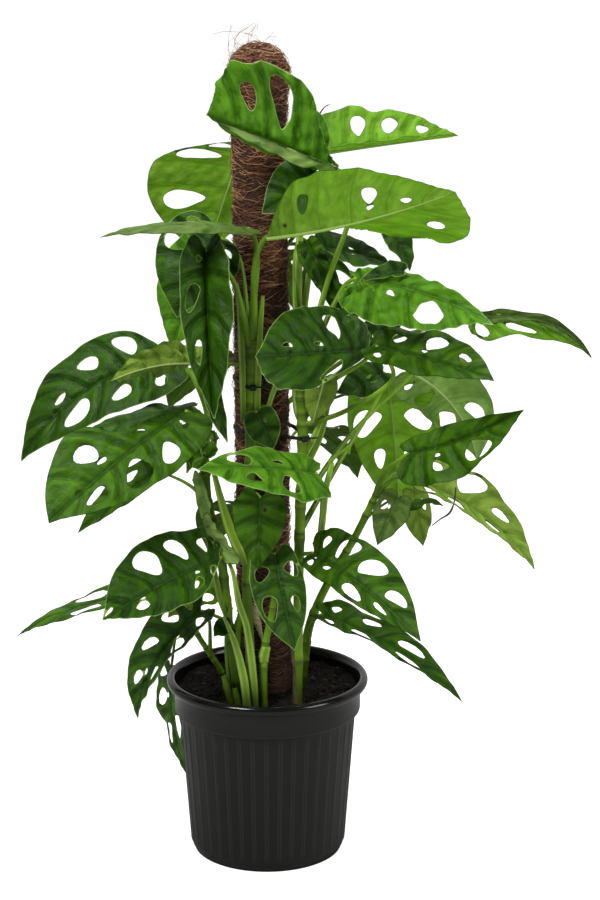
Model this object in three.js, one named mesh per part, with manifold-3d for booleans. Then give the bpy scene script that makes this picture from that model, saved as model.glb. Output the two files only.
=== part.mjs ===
// Monstera adansonii in its nursery pot, grown up a coir pole. Millimetres, +Z up.
// The origin is the middle of the pot's underside. The front of the plant faces -Y.
import * as THREE from 'three';
import Module from 'manifold-3d';

const wasm = await Module();
wasm.setup();

// ---------------------------------------------------------------- driving dimensions

const GAP = 0.35; // clearance between neighbouring pieces

const POT = {
  sides: 40, // one flat panel to each flute
  height: 217,
  footRadius: 89,
  bodyBottom: { z: 12, radius: 93.5 },
  bandBottom: { z: 175, radius: 105.5 },
  bandRadius: 111,
  beadRadius: 120,
  beadCentre: 211.5,
  wall: 2.6,
  floor: 4,
};

const SOIL = { sides: 24, surface: 202, dish: 4, seed: 7 };

const POLE = {
  sides: 14,
  bottom: 30,
  domeStart: 936,
  top: 958,
  radius: 31.5,
  lean: [-2, -0.0062], // x of the axis at the pot's underside, and x gained per mm of height
  bumps: [1.2, 0.034], // height of the bumps in the wrapping and how often they come
};

const TIES = [
  { name: 'tie_upper', z: 574, holds: 'front', band: 4, thickness: 1.3 },
  { name: 'tie_lower', z: 521, holds: 'right', band: 4, thickness: 1.3 },
];
const TIE_SMOOTHING = 0.4;

const MERGE_TOLERANCE = 0.05; // booleans may merge points that lie this close to a flat face
const BLADE_HALF_THICKNESS = 0.4;
const STEM_SIDES = 7;
const STALK_SIDES = 5;
const STALK_STEPS = 6;
const STALK_TIP_RADIUS = 1.3;
const STEM_HOLE_CLEARANCE = 0.4;

// Stems: radius at the foot and at the top, and the points that the axis passes.
const STEMS = {
  front: {
    radius: [5.6, 6.2],
    path: [[-13, -66, 170], [-22, -58, 326], [-19, -52, 445], [-17, -51, 564], [-15, -51, 640]],
  },
  right: {
    radius: [5.6, 6.2],
    path: [[36, -56, 170], [37, -58, 327], [39, -56, 423], [42, -54, 518], [40, -50, 590]],
  },
  left: {
    radius: [5, 6],
    path: [[-30, -52, 170], [-42, -53, 276], [-52, -58, 376], [-68, -54, 447], [-70, -48, 492]],
  },
  spread: {
    radius: [6, 4],
    path: [
      [38, -6, 170], [44, -4, 235], [52, -6, 285], [76, -12, 342], [102, -20, 390], [130, -24, 450],
    ],
  },
  low: {
    radius: [5, 3.2],
    path: [[-3, -74, 170], [-3, -74, 262], [6, -78, 315], [11, -78, 350]],
  },
  side: {
    radius: [4, 3],
    path: [[-46, -22, 170], [-52, -26, 222], [-66, -30, 250], [-82, -28, 276], [-92, -20, 300]],
  },
  back: {
    radius: [8, 5],
    path: [[0, 51, 170], [-3, 51, 400], [-6, 51, 600], [-8, 51, 800]],
  },
};

// Blades. base and tip are the ends of the midrib, bow moves its middle, face is the way that the
// upper side looks. A half has its width, its fold in degrees at the base and at the tip, its curl in
// degrees, its outline, and one letter for each space between side veins: - for none, or the size of hole.
// stalk gives the stem, how far up it the petiole starts, and the points that the petiole passes, if any.
const LEAVES = {
  crown_shield: {
    base: [80, -50, 826], tip: [-62, -120, 894], bow: [0, -12, 6], face: [0.05, -1, 0.15], wave: 4,
    left: { width: 34, fold: [-80, -60], holes: '----' },
    right: { width: 86, fold: [0, 10], curl: 18, outline: 'sail', holes: '----xm-' },
    stalk: { stem: 'right', from: 0.99, radius: 3.8, via: [[70, -46, 700], [95, -53, 780]] },
  },
  crown_right: {
    base: [57, 34, 836], tip: [223, 80, 851], bow: [0, 0, 2], face: [0, 0, 1],
    left: { width: 56, fold: [45, 38], belly: 0.85, lobe: 0.2, holes: '---llm-' },
    right: { width: 38, fold: [12, 14], holes: '--m--', belly: 0.92 },
    stalk: { stem: 'back', from: 0.84, radius: 3.4 },
  },
  crown_front: {
    base: [4, -90, 759], tip: [205, -160, 818], bow: [0, 0, -14], face: [0, 0.8, 0.45],
    left: { width: 72, fold: [75, -5], outline: 'spoon', belly: 0.85, holes: '----o-' },
    right: { width: 74, fold: [5, 0], outline: 'fin', belly: 0.9, holes: '---m-ms-' },
    stalk: { stem: 'front', from: 0.97, radius: 4.2 },
  },
  crown_shade: {
    base: [58, -34, 812], tip: [-4, -52, 778], bow: [0, 0, 6], face: [-0.2, -0.9, 0.25],
    left: { width: 36, fold: [5, 5], belly: 1.2, holes: '----' },
    right: { width: 36, fold: [5, 5], belly: 1.2, holes: '----' },
    stalk: { stem: 'back', from: 0.76, radius: 2.6 },
  },
  crown_left: {
    base: [-26, 66, 844], tip: [-72, 84, 705], bow: [-4, 0, 0], face: [-0.3, 0.85, 0.4],
    left: { width: 98, fold: [5, 5], outline: 'fin', belly: 0.88, holes: 'sxx-xm-' },
    right: { width: 40, fold: [5, 5], holes: '----' },
    stalk: { stem: 'back', from: 0.9, radius: 3 },
  },
  ribbon_left: {
    base: [-19, -66, 764], tip: [-177, -150, 768], bow: [0, 0, 16], face: [0, 0, 1], wave: 0.4,
    left: { width: 30, fold: [-12, -12], holes: '----' },
    right: { width: 30, fold: [-6, -4], holes: '----' },
    stalk: { stem: 'front', from: 0.93, radius: 4 },
  },
  left_shade: {
    base: [-51, -30, 747], tip: [-101, -46, 658], bow: [-8, 0, 16], face: [-0.35, -0.85, 0.35],
    left: { width: 46, fold: [5, 5], holes: '-m-m-' },
    right: { width: 58, fold: [5, 5], holes: '-lxs-' },
    stalk: { stem: 'front', from: 0.95, radius: 2.6 },
  },
  left_hanging: {
    base: [-66, -76, 743], tip: [-56, -128, 560], bow: [-4, 0, 0], face: [-0.1, -0.9, 0.3],
    left: { width: 38, fold: [40, 30], holes: '-----' },
    right: { width: 34, fold: [40, 30], holes: '-slm-' },
    stalk: { stem: 'front', from: 0.89, radius: 3.4, via: [[-34, -68, 700]] },
  },
  left_behind: {
    base: [-60, 22, 711], tip: [-113, 60, 600], bow: [-10, 0, 8], face: [-0.4, -0.7, 0.5],
    left: { width: 38, fold: [5, 5], holes: '-m--' },
    right: { width: 62, fold: [5, 5], holes: '-lxs-' },
    stalk: { stem: 'back', from: 0.66, radius: 2.6 },
  },
  left_upper: {
    base: [-109, -8, 602], tip: [-287, -10, 481], bow: [-26, 0, 48], face: [-0.25, -0.6, 0.75],
    left: { width: 50, fold: [-10, -10], holes: '-mml-' },
    right: { width: 53, fold: [25, 10], outline: 'fin', holes: '--lms-' },
    stalk: { stem: 'left', from: 0.99, radius: 3.4, via: [[-68, -26, 540], [-88, -12, 588]] },
  },
  left_edge: {
    base: [-84, -38, 553], tip: [-212, -80, 531], bow: [0, 0, 8], face: [-0.1, -0.45, 0.9],
    left: { width: 34, fold: [-14, -14], holes: '-mm-' },
    right: { width: 30, fold: [-24, -24], holes: '-m--' },
    stalk: { stem: 'left', from: 0.94, radius: 2.4 },
  },
  left_broad: {
    base: [-90, -84, 559], tip: [-236, -190, 458], bow: [-6, 0, 8], face: [-0.15, -0.85, 0.5],
    left: { width: 54, fold: [5, 5], belly: 0.88, holes: '-slxl-' },
    right: { width: 60, fold: [5, 5], outline: 'kite', holes: '--mm-' },
    stalk: { stem: 'left', from: 0.9, radius: 3.4 },
  },
  left_lower_tip: {
    base: [-128, 0, 468], tip: [-225, 14, 388], bow: [0, 0, 6], face: [-0.2, -0.7, 0.6],
    left: { width: 14, fold: [5, 5], holes: '----' },
    right: { width: 26, fold: [5, 5], holes: '-m-' },
    stalk: { stem: 'left', from: 0.66, radius: 2.4 },
  },
  left_curled: {
    base: [-71, -62, 609], tip: [-172, -122, 602], bow: [0, 0, 16], face: [0, 0.9, 0.4], wave: 3,
    left: { width: 24, fold: [30, 30], curl: 40, holes: '----' },
    right: { width: 26, fold: [20, 20], curl: 40, holes: '----' },
    stalk: { stem: 'front', from: 0.83, radius: 2.4 },
  },
  low_left: {
    base: [-52, -90, 389], tip: [-180, -184, 345], bow: [0, 0, 10], face: [-0.15, -0.75, 0.65],
    left: { width: 41, fold: [5, 5], outline: 'fin', belly: 0.8, holes: '-lm-m-' },
    right: { width: 56, fold: [5, 5], holes: '-mlx-m', belly: 0.8 },
    stalk: { stem: 'left', from: 0.5, radius: 3 },
  },
  low_left_edge: {
    base: [-122, 22, 312], tip: [-309, 74, 240], bow: [0, 0, 26], face: [0, -0.18, 1],
    left: { width: 36, fold: [5, 5], holes: '-ml-' },
    right: { width: 34, fold: [5, 5], holes: '-ml-' },
    stalk: { stem: 'side', from: 0.97, radius: 2.4 },
  },
  pot_left: {
    base: [-76, -56, 314], tip: [-149, -112, 202], bow: [-30, 0, 10], face: [-0.5, -0.75, 0.4],
    left: { width: 26, fold: [15, 35], holes: '-llm-' },
    right: { width: 38, fold: [5, 5], holes: '-llmm-' },
    stalk: { stem: 'side', from: 0.5, radius: 2.4 },
  },
  pot_back: {
    base: [-120, 84, 194], tip: [-103, 108, 42], bow: [-14, 0, 0], face: [-0.75, -0.5, 0.3],
    left: { width: 30, fold: [5, 5], holes: '-ll-' },
    right: { width: 30, fold: [5, 5], holes: '-lll-' },
    stalk: { stem: 'back', from: 0.1, radius: 2.4, via: [[-56, 72, 262], [-104, 86, 262]] },
  },
  low_left_pale: {
    base: [-64, 40, 316], tip: [-121, 46, 273], bow: [0, 0, 6], face: [0.1, 0.8, 0.5],
    left: { width: 26, fold: [5, 5], holes: '-m-' },
    right: { width: 26, fold: [5, 5], holes: '-l-' },
    stalk: { stem: 'left', from: 0.34, radius: 2 },
  },
  low_dark: {
    base: [-40, -76, 302], tip: [-60, -97, 297], bow: [0, 0, 4], face: [-0.2, -0.8, 0.5],
    left: { width: 13, fold: [5, 5], holes: '---' },
    right: { width: 13, fold: [5, 5], holes: '---' },
    stalk: { stem: 'left', from: 0.25, radius: 1.8 },
  },
  centre_bright: {
    base: [57, -84, 487], tip: [-72, -190, 519], bow: [0, 0, 8], face: [0, -0.6, 0.8],
    left: { width: 52, fold: [5, 5], belly: 0.9, lobe: 0.3, holes: '--lm-' },
    right: { width: 29, fold: [5, 5], belly: 0.9, holes: '--sx-' },
    stalk: { stem: 'right', from: 0.56, radius: 3.2 },
  },
  centre_heart: {
    base: [-6, -91, 460], tip: [-9, -108, 379], bow: [0, -6, 0], face: [0, -0.95, 0.3],
    left: { width: 31, fold: [12, 5], belly: 1.3, lobe: 1.6, holes: '-----' },
    right: { width: 31, fold: [12, 5], belly: 1.3, lobe: 1.6, holes: '-----' },
    stalk: { stem: 'front', from: 0.5, radius: 2.4 },
  },
  centre_low: {
    base: [10, -90, 393], tip: [33, -150, 297], bow: [0, -8, 0], face: [0.05, -0.95, 0.3],
    left: { width: 27, fold: [5, 5], holes: '-lm-', belly: 0.9 },
    right: { width: 34, fold: [5, 5], holes: '-lx-', belly: 0.9 },
    stalk: { stem: 'low', from: 0.97, radius: 2.4 },
  },
  centre_dark: {
    base: [-10, -66, 554], tip: [9, -60, 508], bow: [0, -2, 0], face: [0, -0.95, 0.25],
    left: { width: 20, fold: [5, 5], holes: '---' },
    right: { width: 20, fold: [5, 5], holes: '---' },
    stalk: { stem: 'front', from: 0.68, radius: 2 },
  },
  centre_cup: {
    base: [117, -72, 627], tip: [-9, -170, 640], bow: [0, 0, 0], face: [0, -0.35, 0.93],
    left: { width: 46, fold: [-25, -35], outline: 'spoon', holes: '--l--' },
    right: { width: 60, fold: [30, 36], holes: '--l-s-', belly: 0.85 },
    stalk: { stem: 'right', from: 0.84, radius: 3.4 },
  },
  centre_pale: {
    base: [67, -66, 595], tip: [53, -66, 540], bow: [0, 0, 0], face: [-0.1, 0.95, 0.1],
    left: { width: 18, fold: [5, 5], holes: '---' },
    right: { width: 18, fold: [5, 5], holes: '---' },
    stalk: { stem: 'right', from: 0.9, radius: 2 },
  },
  centre_dark_right: {
    base: [135, -34, 593], tip: [80, -56, 574], bow: [0, 0, -8], face: [0, -0.7, 0.7],
    left: { width: 18, fold: [5, 5], holes: '---' },
    right: { width: 24, fold: [5, 5], holes: '---' },
    stalk: { stem: 'right', from: 0.8, radius: 2 },
  },
  low_right: {
    base: [54, -86, 393], tip: [173, -190, 322], bow: [4, 0, 14], face: [0.15, -0.8, 0.55],
    left: { width: 45, fold: [5, 5], holes: '-mxxl-' },
    right: { width: 26, fold: [5, 5], lobe: 0.3, holes: '-msxm-' },
    stalk: { stem: 'right', from: 0.36, radius: 3.2 },
  },
  low_right_edge: {
    base: [65, -36, 303], tip: [227, -104, 220], bow: [4, 0, 26], face: [0.1, -0.25, 0.95],
    left: { width: 34, fold: [5, 5], holes: '-mml-' },
    right: { width: 18, fold: [5, 5], holes: '-mll-' },
    stalk: { stem: 'spread', from: 0.2, radius: 2.6 },
  },
  right_sail: {
    base: [46, -14, 742], tip: [82, -40, 657], bow: [4, 0, 4], face: [0.2, -0.9, 0.35],
    left: { width: 36, fold: [5, 5], outline: 'spoon', holes: '--l-' },
    right: { width: 14, fold: [5, 5], holes: '----' },
    stalk: { stem: 'right', from: 0.96, radius: 2.6, via: [[32, -38, 690], [36, -6, 738]] },
  },
  right_bar: {
    base: [64, 12, 731], tip: [146, 42, 705], bow: [0, 0, 6], face: [0, -0.5, 0.85],
    left: { width: 28, fold: [5, 5], holes: '----' },
    right: { width: 30, fold: [5, 5], holes: '----' },
    stalk: { stem: 'back', from: 0.7, radius: 2.2 },
  },
  right_teal: {
    base: [138, 12, 754], tip: [167, 20, 700], bow: [6, 0, 6], face: [0.5, -0.7, 0.5],
    left: { width: 22, fold: [5, 5], holes: '---' },
    right: { width: 18, fold: [5, 5], holes: '---' },
    stalk: { stem: 'back', from: 0.78, radius: 2, via: [[70, 46, 744]] },
  },
  right_bright: {
    base: [103, -68, 707], tip: [250, -150, 671], bow: [6, 0, 16], face: [0, -0.55, 0.8],
    left: { width: 20, fold: [10, 20], holes: '-----' },
    right: { width: 54, fold: [-12, -12], holes: '---x-' },
    stalk: { stem: 'right', from: 0.93, radius: 3.4, via: [[64, -40, 642], [88, -50, 694]] },
  },
  right_mid: {
    base: [124, -92, 636], tip: [248, -190, 618], bow: [4, 0, 4], face: [0, -0.65, 0.75],
    left: { width: 36, fold: [5, 5], belly: 0.72, holes: '-mlm-' },
    right: { width: 28, fold: [5, 5], holes: '-m---' },
    stalk: { stem: 'right', from: 0.8, radius: 3.2, via: [[92, -68, 556], [143, -90, 598]] },
  },
  right_far: {
    base: [235, -6, 650], tip: [384, 54, 592], bow: [20, 0, 34], face: [0, -0.3, 0.95],
    left: { width: 28, fold: [-10, -10], holes: '-m--', belly: 1.3 },
    right: { width: 28, fold: [-30, -30], belly: 1.6, lobe: 0.4, holes: '-xl-' },
    stalk: { stem: 'back', from: 0.52, radius: 3.2, via: [[110, 52, 600]] },
  },
  right_dark: {
    base: [99, 12, 624], tip: [170, 44, 652], bow: [0, 0, 4], face: [0, -0.6, 0.8],
    left: { width: 28, fold: [5, 5], holes: '-m-' },
    right: { width: 28, fold: [5, 5], holes: '-m-' },
    stalk: { stem: 'back', from: 0.56, radius: 2.2 },
  },
  right_hanging: {
    base: [143, 62, 559], tip: [161, 118, 379], bow: [4, 0, 8], face: [0.1, 0.9, 0.2],
    left: { width: 54, fold: [5, 5], holes: '-lxm-' },
    right: { width: 56, fold: [5, 5], holes: '-mxl-' },
    stalk: { stem: 'right', from: 0.46, radius: 3.4, via: [[84, 0, 476]] },
  },
  right_pale: {
    base: [173, 18, 581], tip: [252, 62, 465], bow: [22, 0, 20], face: [0.3, 0.8, 0.3],
    left: { width: 50, fold: [5, 5], holes: '-mlx-' },
    right: { width: 50, fold: [5, 5], holes: '-m-l-' },
    stalk: { stem: 'right', from: 0.54, radius: 3.2, via: [[96, -14, 512]] },
  },
  right_open: {
    base: [162, -74, 507], tip: [284, -150, 576], bow: [0, 0, -14], face: [0, -0.75, 0.6],
    left: { width: 22, fold: [5, 5], holes: '----' },
    right: { width: 48, fold: [5, 5], holes: '--mx-' },
    stalk: { stem: 'spread', from: 0.97, radius: 3.2 },
  },
  right_long: {
    base: [177, -50, 468], tip: [311, -64, 367], bow: [14, 0, 22], face: [0.35, -0.25, 0.9],
    left: { width: 44, fold: [30, 20], holes: '-lxm-' },
    right: { width: 26, fold: [5, 5], holes: '-llm-' },
    stalk: { stem: 'spread', from: 0.97, radius: 3, via: [[150, -34, 468]] },
  },
  right_small_a: {
    base: [154, -38, 447], tip: [128, -52, 392], bow: [0, 0, 4], face: [-0.3, -0.8, 0.4],
    left: { width: 22, fold: [5, 5], holes: '---' },
    right: { width: 22, fold: [5, 5], holes: '-m-' },
    stalk: { stem: 'spread', from: 0.8, radius: 2 },
  },
  right_small_b: {
    base: [171, 12, 441], tip: [187, 40, 363], bow: [0, 0, 2], face: [0.1, -0.9, 0.4],
    left: { width: 18, fold: [5, 5], holes: '-m-' },
    right: { width: 18, fold: [5, 5], holes: '---' },
    stalk: { stem: 'spread', from: 0.94, radius: 2, via: [[148, -4, 464], [168, 18, 460]] },
  },
  back_top: {
    base: [4, 78, 722], tip: [34, 186, 622], bow: [0, 10, 26], face: [0.1, 0.6, 0.8],
    left: { width: 40, fold: [5, 5], holes: '-ml-' },
    right: { width: 40, fold: [5, 5], holes: '-lm-' },
    stalk: { stem: 'back', from: 0.8, radius: 2.6 },
  },
  back_left: {
    base: [-40, 84, 590], tip: [-124, 176, 500], bow: [-8, 8, 26], face: [-0.3, 0.6, 0.75],
    left: { width: 42, fold: [5, 5], holes: '-lm-' },
    right: { width: 42, fold: [5, 5], holes: '-ml-' },
    stalk: { stem: 'back', from: 0.5, radius: 2.6 },
  },
  back_right: {
    base: [40, 86, 500], tip: [112, 190, 410], bow: [8, 8, 26], face: [0.3, 0.6, 0.75],
    left: { width: 42, fold: [5, 5], holes: '-ml-' },
    right: { width: 42, fold: [5, 5], holes: '-lm-' },
    stalk: { stem: 'back', from: 0.36, radius: 2.6 },
  },
  back_low: {
    base: [-24, 88, 404], tip: [-78, 196, 312], bow: [-4, 10, 26], face: [-0.2, 0.6, 0.8],
    left: { width: 42, fold: [5, 5], holes: '-lm-' },
    right: { width: 42, fold: [5, 5], holes: '-ml-' },
    stalk: { stem: 'back', from: 0.22, radius: 2.6 },
  },
  left_young: {
    base: [-66, -68, 498], tip: [-86, -76, 522], bow: [-6, 0, 0], face: [-0.3, -0.9, 0.1],
    left: { width: 18, fold: [40, 40], holes: '---' },
    right: { width: 22, fold: [5, 5], holes: '---' },
    stalk: { stem: 'left', from: 0.97, radius: 2 },
  },
};

// Half outlines: how far along the midrib, and how far out, both as shares of the blade's length and width.
const OUTLINES = {
  heart: [
    [-0.05, 0.2], [-0.075, 0.5], [0, 0.8], [0.16, 0.98], [0.36, 1], [0.57, 0.86], [0.76, 0.56],
    [0.91, 0.2], [1, 0],
  ],
  spoon: [
    [-0.01, 0.06], [0.05, 0.18], [0.2, 0.42], [0.42, 0.74], [0.66, 0.97], [0.83, 1], [0.95, 0.78],
    [1.01, 0.38], [1, 0],
  ],
  sail: [
    [0, 0.07], [0.07, 0.12], [0.15, 0.24], [0.26, 0.46], [0.43, 0.78], [0.68, 0.9], [0.91, 0.84],
    [1.07, 0.6], [1, 0],
  ],
  fin: [
    [0, 0.05], [0.03, 0.24], [0.09, 0.52], [0.2, 0.86], [0.38, 1], [0.58, 0.88], [0.77, 0.58],
    [0.92, 0.2], [1, 0],
  ],
  kite: [
    [0, 0.05], [0.1, 0.22], [0.25, 0.32], [0.38, 0.55], [0.48, 0.9], [0.6, 1], [0.76, 0.78],
    [0.9, 0.42], [1, 0],
  ],
};
const VEIN_ROOTS = [0, 0.015, 0.05, 0.12, 0.25, 0.42, 0.61, 0.81, 1]; // where each side vein leaves the midrib
const VEIN_BEND = { along: 0.22, out: 0.55 };

// Holes: middle and half length as shares of the way from midrib to edge, and half width as a share of
// the space.
const HOLES = {
  s: { middle: 0.3, length: 0.1, width: 0.15 },
  m: { middle: 0.5, length: 0.19, width: 0.2 },
  l: { middle: 0.52, length: 0.27, width: 0.25 },
  x: { middle: 0.54, length: 0.33, width: 0.31 },
  o: { middle: 0.7, length: 0.1, width: 0.2 },
};
const HOLE_CORNERS = 5;
const RIB_WIDTH = 1e-9; // flat points nearer to the midrib than this lie on it
const SAME_ROOT = 5e-4; // veins of both halves that leave the midrib this close share a point

const FINISHES = {
  pot: { color: 0x1b1c1e, roughness: 0.42 },
  soil: { color: 0x1d1712, roughness: 0.95 },
  coir: { color: 0x7a4a30, roughness: 0.95 },
  tie: { color: 0x101010, roughness: 0.5 },
  stem: { color: 0x6fae3a, roughness: 0.5 },
  leaf: { color: 0x2f7d1e, roughness: 0.38 },
};

// ---------------------------------------------------------------- small helpers

const vec = (p) => new THREE.Vector3(...p);

/** A point on the smooth curve through evenly spaced points (arrays of any length), x from 0 to 1. */
function through(points, x) {
  const spans = points.length - 1;
  const place = Math.min(Math.max(x, 0), 1) * spans;
  const i = Math.min(Math.floor(place), spans - 1);
  const f = place - i;
  const [a, b] = [points[Math.max(i - 1, 0)], points[i]];
  const [c, d] = [points[i + 1], points[Math.min(i + 2, spans)]];
  return b.map((bk, k) => 0.5 * (2 * bk + (c[k] - a[k]) * f
    + (2 * a[k] - 5 * bk + 4 * c[k] - d[k]) * f * f + (3 * bk - a[k] - 3 * c[k] + d[k]) * f ** 3));
}

/** Numbers from 0 to 1 that are the same at every run. */
function seededRandom(seed) {
  let state = seed;
  return () => {
    state = (state * 1664525 + 1013904223) % 4294967296;
    return state / 4294967296;
  };
}

/** A manifold-3d solid from points and triangles. */
function solid(points, triangles) {
  return new wasm.Manifold(new wasm.Mesh({
    numProp: 3,
    vertProperties: new Float32Array(points.flatMap((p) => [p.x, p.y, p.z])),
    triVerts: new Uint32Array(triangles.flat()),
  }));
}

/** A closed solid from rings of points, each ring turning the same way round the way that they run. */
function loft(rings) {
  const sides = rings[0].length;
  const points = rings.flat();
  const triangles = [];
  const middle = (ring) => ring.reduce((sum, p) => sum.add(p), new THREE.Vector3()).divideScalar(sides);
  for (let r = 0; r + 1 < rings.length; r += 1) {
    for (let j = 0; j < sides; j += 1) {
      const [a, b] = [r * sides + j, r * sides + (j + 1) % sides];
      triangles.push([a, b, b + sides], [a, b + sides, a + sides]);
    }
  }
  const last = (rings.length - 1) * sides;
  points.push(middle(rings[0]), middle(rings[rings.length - 1]));
  for (let j = 0; j < sides; j += 1) {
    const next = (j + 1) % sides;
    triangles.push([points.length - 2, next, j], [points.length - 1, last + j, last + next]);
  }
  return solid(points, triangles);
}

/** A horizontal ring round (x, y, z); radius may be a number or a function of the corner. */
function ring(sides, radius, z, x = 0, y = 0) {
  return Array.from({ length: sides }, (_, j) => {
    const angle = (2 * Math.PI * j) / sides;
    const r = typeof radius === 'function' ? radius(angle, j) : radius;
    return new THREE.Vector3(x + r * Math.cos(angle), y + r * Math.sin(angle), z);
  });
}

/** A tube along points, its rings kept from twisting. */
function tube(points, radii, sides) {
  const rings = [];
  let across = null;
  points.forEach((p, i) => {
    const ahead = points[Math.min(i + 1, points.length - 1)];
    const along = ahead.clone().sub(points[Math.max(i - 1, 0)]).normalize();
    across = across ?? new THREE.Vector3(1, 0, 0);
    across = across.clone().addScaledVector(along, -across.dot(along)).normalize();
    const other = along.clone().cross(across);
    rings.push(Array.from({ length: sides }, (_, j) => {
      const angle = (2 * Math.PI * j) / sides;
      return p.clone().addScaledVector(across, radii[i] * Math.cos(angle))
        .addScaledVector(other, radii[i] * Math.sin(angle));
    }));
  });
  return loft(rings);
}

// ---------------------------------------------------------------- blades

/** Where the midrib is at share s of its length, and the way that it runs there. */
function midrib(leaf, s) {
  const [base, tip] = [vec(leaf.base), vec(leaf.tip)];
  const control = base.clone().lerp(tip, 0.5).add(vec(leaf.bow));
  const x = THREE.MathUtils.clamp(s, 0, 1);
  const along = control.clone().sub(base).multiplyScalar(2 * (1 - x))
    .addScaledVector(tip.clone().sub(control), 2 * x);
  const place = s < 0 ? base.clone().addScaledVector(control.clone().sub(base), 2 * s)
    : base.clone().multiplyScalar((1 - s) ** 2).addScaledVector(control, 2 * s * (1 - s))
      .addScaledVector(tip, s * s);
  return { place, along: along.normalize() };
}

/** A point of the flat half blade: u runs from the base round to the tip, v from midrib to edge. */
function flatPoint(half, u, v) {
  const belly = half.belly ?? 1;
  const lobe = half.lobe ?? 1;
  const [edgeS, edgeT] = through(OUTLINES[half.outline ?? 'heart'], u);
  const edge = edgeS > 0 ? edgeS ** belly : edgeS * lobe;
  const root = Math.abs(through(VEIN_ROOTS.map((r) => [r]), u)[0]) ** belly;
  const bend = root + VEIN_BEND.along * (edge - root);
  const s = (1 - v) ** 2 * root + 2 * v * (1 - v) * bend + v * v * edge;
  return [s, 2 * v * (1 - v) * VEIN_BEND.out * edgeT + v * v * edgeT];
}

/** The place in space of a flat point (s, t) of one half, with side 1 for the right and -1 for the left. */
function bladePoint(leaf, nameLength, side, s, t) {
  const half = side > 0 ? leaf.right : leaf.left;
  const { place, along } = midrib(leaf, s);
  const face = vec(leaf.face).normalize();
  const up = face.addScaledVector(along, -face.dot(along)).normalize();
  const out = along.clone().cross(up);
  const share = THREE.MathUtils.clamp(s, 0, 1);
  const fold = THREE.MathUtils.degToRad(THREE.MathUtils.lerp(half.fold[0], half.fold[1], share));
  const curl = THREE.MathUtils.degToRad(half.curl ?? 0.5);
  const reach = (half.width / curl) * (Math.sin(fold + curl * t) - Math.sin(fold));
  const rise = (-half.width / curl) * (Math.cos(fold + curl * t) - Math.cos(fold));
  const wave = (leaf.wave ?? 2) * t * t * Math.sin(2 * Math.PI * 2.3 * s + side * 1.1 + nameLength);
  return place.addScaledVector(out, side * reach).addScaledVector(up, rise + wave);
}

/** Where the side veins of a half leave the midrib, one for each border between its spaces. */
function veinRoots(half) {
  const cells = half.holes.length;
  return Array.from({ length: cells + 1 }, (_, k) => ({ u: k / cells, s: flatPoint(half, k / cells, 0)[0] }));
}

/** The surface of a blade: its points, and triangles that all face the blade's upper side. */
function bladeSurface(leaf, nameLength) {
  const points = [];
  const index = new Map();
  const triangles = [];
  const addFlat = (side, s, t) => {
    const key = t < RIB_WIDTH ? `rib ${s.toFixed(3)}` : `${side} ${s.toFixed(5)} ${t.toFixed(5)}`;
    if (!index.has(key)) {
      index.set(key, points.length);
      points.push(bladePoint(leaf, nameLength, side, s, t));
    }
    return { id: index.get(key), flat: new THREE.Vector2(s, t) };
  };
  const addPoint = (side, half, u, v) => addFlat(side, ...flatPoint(half, u, v));
  for (const side of [-1, 1]) {
    const half = side > 0 ? leaf.right : leaf.left;
    const cells = half.holes.length;
    const roots = veinRoots(half).map((root) => root.s);
    const opposite = veinRoots(side > 0 ? leaf.left : leaf.right).map((root) => root.s);
    [...half.holes].forEach((letter, k) => {
      const [from, to] = [k / cells, (k + 1) / cells];
      const between = opposite.filter((s) => s > roots[k] + SAME_ROOT && s < roots[k + 1] - SAME_ROOT);
      const outer = [addPoint(side, half, from, 0), ...between.map((s) => addFlat(side, s, 0))];
      const border = [[to, 0]];
      if (k < cells - 1) border.push([to, 0.5], [to, 1]);
      if (cells < 5) border.push([(from + to) / 2, 1]);
      border.push([from, 1], [from, 0.5]);
      outer.push(...border.map(([u, v]) => addPoint(side, half, u, v)));
      const inner = [];
      if (letter !== '-') {
        const hole = HOLES[letter];
        for (let c = HOLE_CORNERS; c > 0; c -= 1) {
          const angle = (2 * Math.PI * (c + 0.25)) / HOLE_CORNERS;
          inner.push(addPoint(side, half, (from + to) / 2 + (hole.width / cells) * Math.cos(angle),
            hole.middle + hole.length * Math.sin(angle)));
        }
      }
      const all = [...outer, ...inner];
      const openings = inner.length ? [inner.map((p) => p.flat)] : [];
      const faces = THREE.ShapeUtils.triangulateShape(outer.map((p) => p.flat), openings);
      for (const [a, b, c] of faces) {
        const [pa, pb, pc] = [all[a].flat, all[b].flat, all[c].flat];
        const turn = (pb.x - pa.x) * (pc.y - pa.y) - (pb.y - pa.y) * (pc.x - pa.x);
        const ids = [all[a].id, all[b].id, all[c].id];
        triangles.push(turn * side > 0 ? ids.reverse() : ids);
      }
    });
  }
  return { points, triangles };
}

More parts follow.
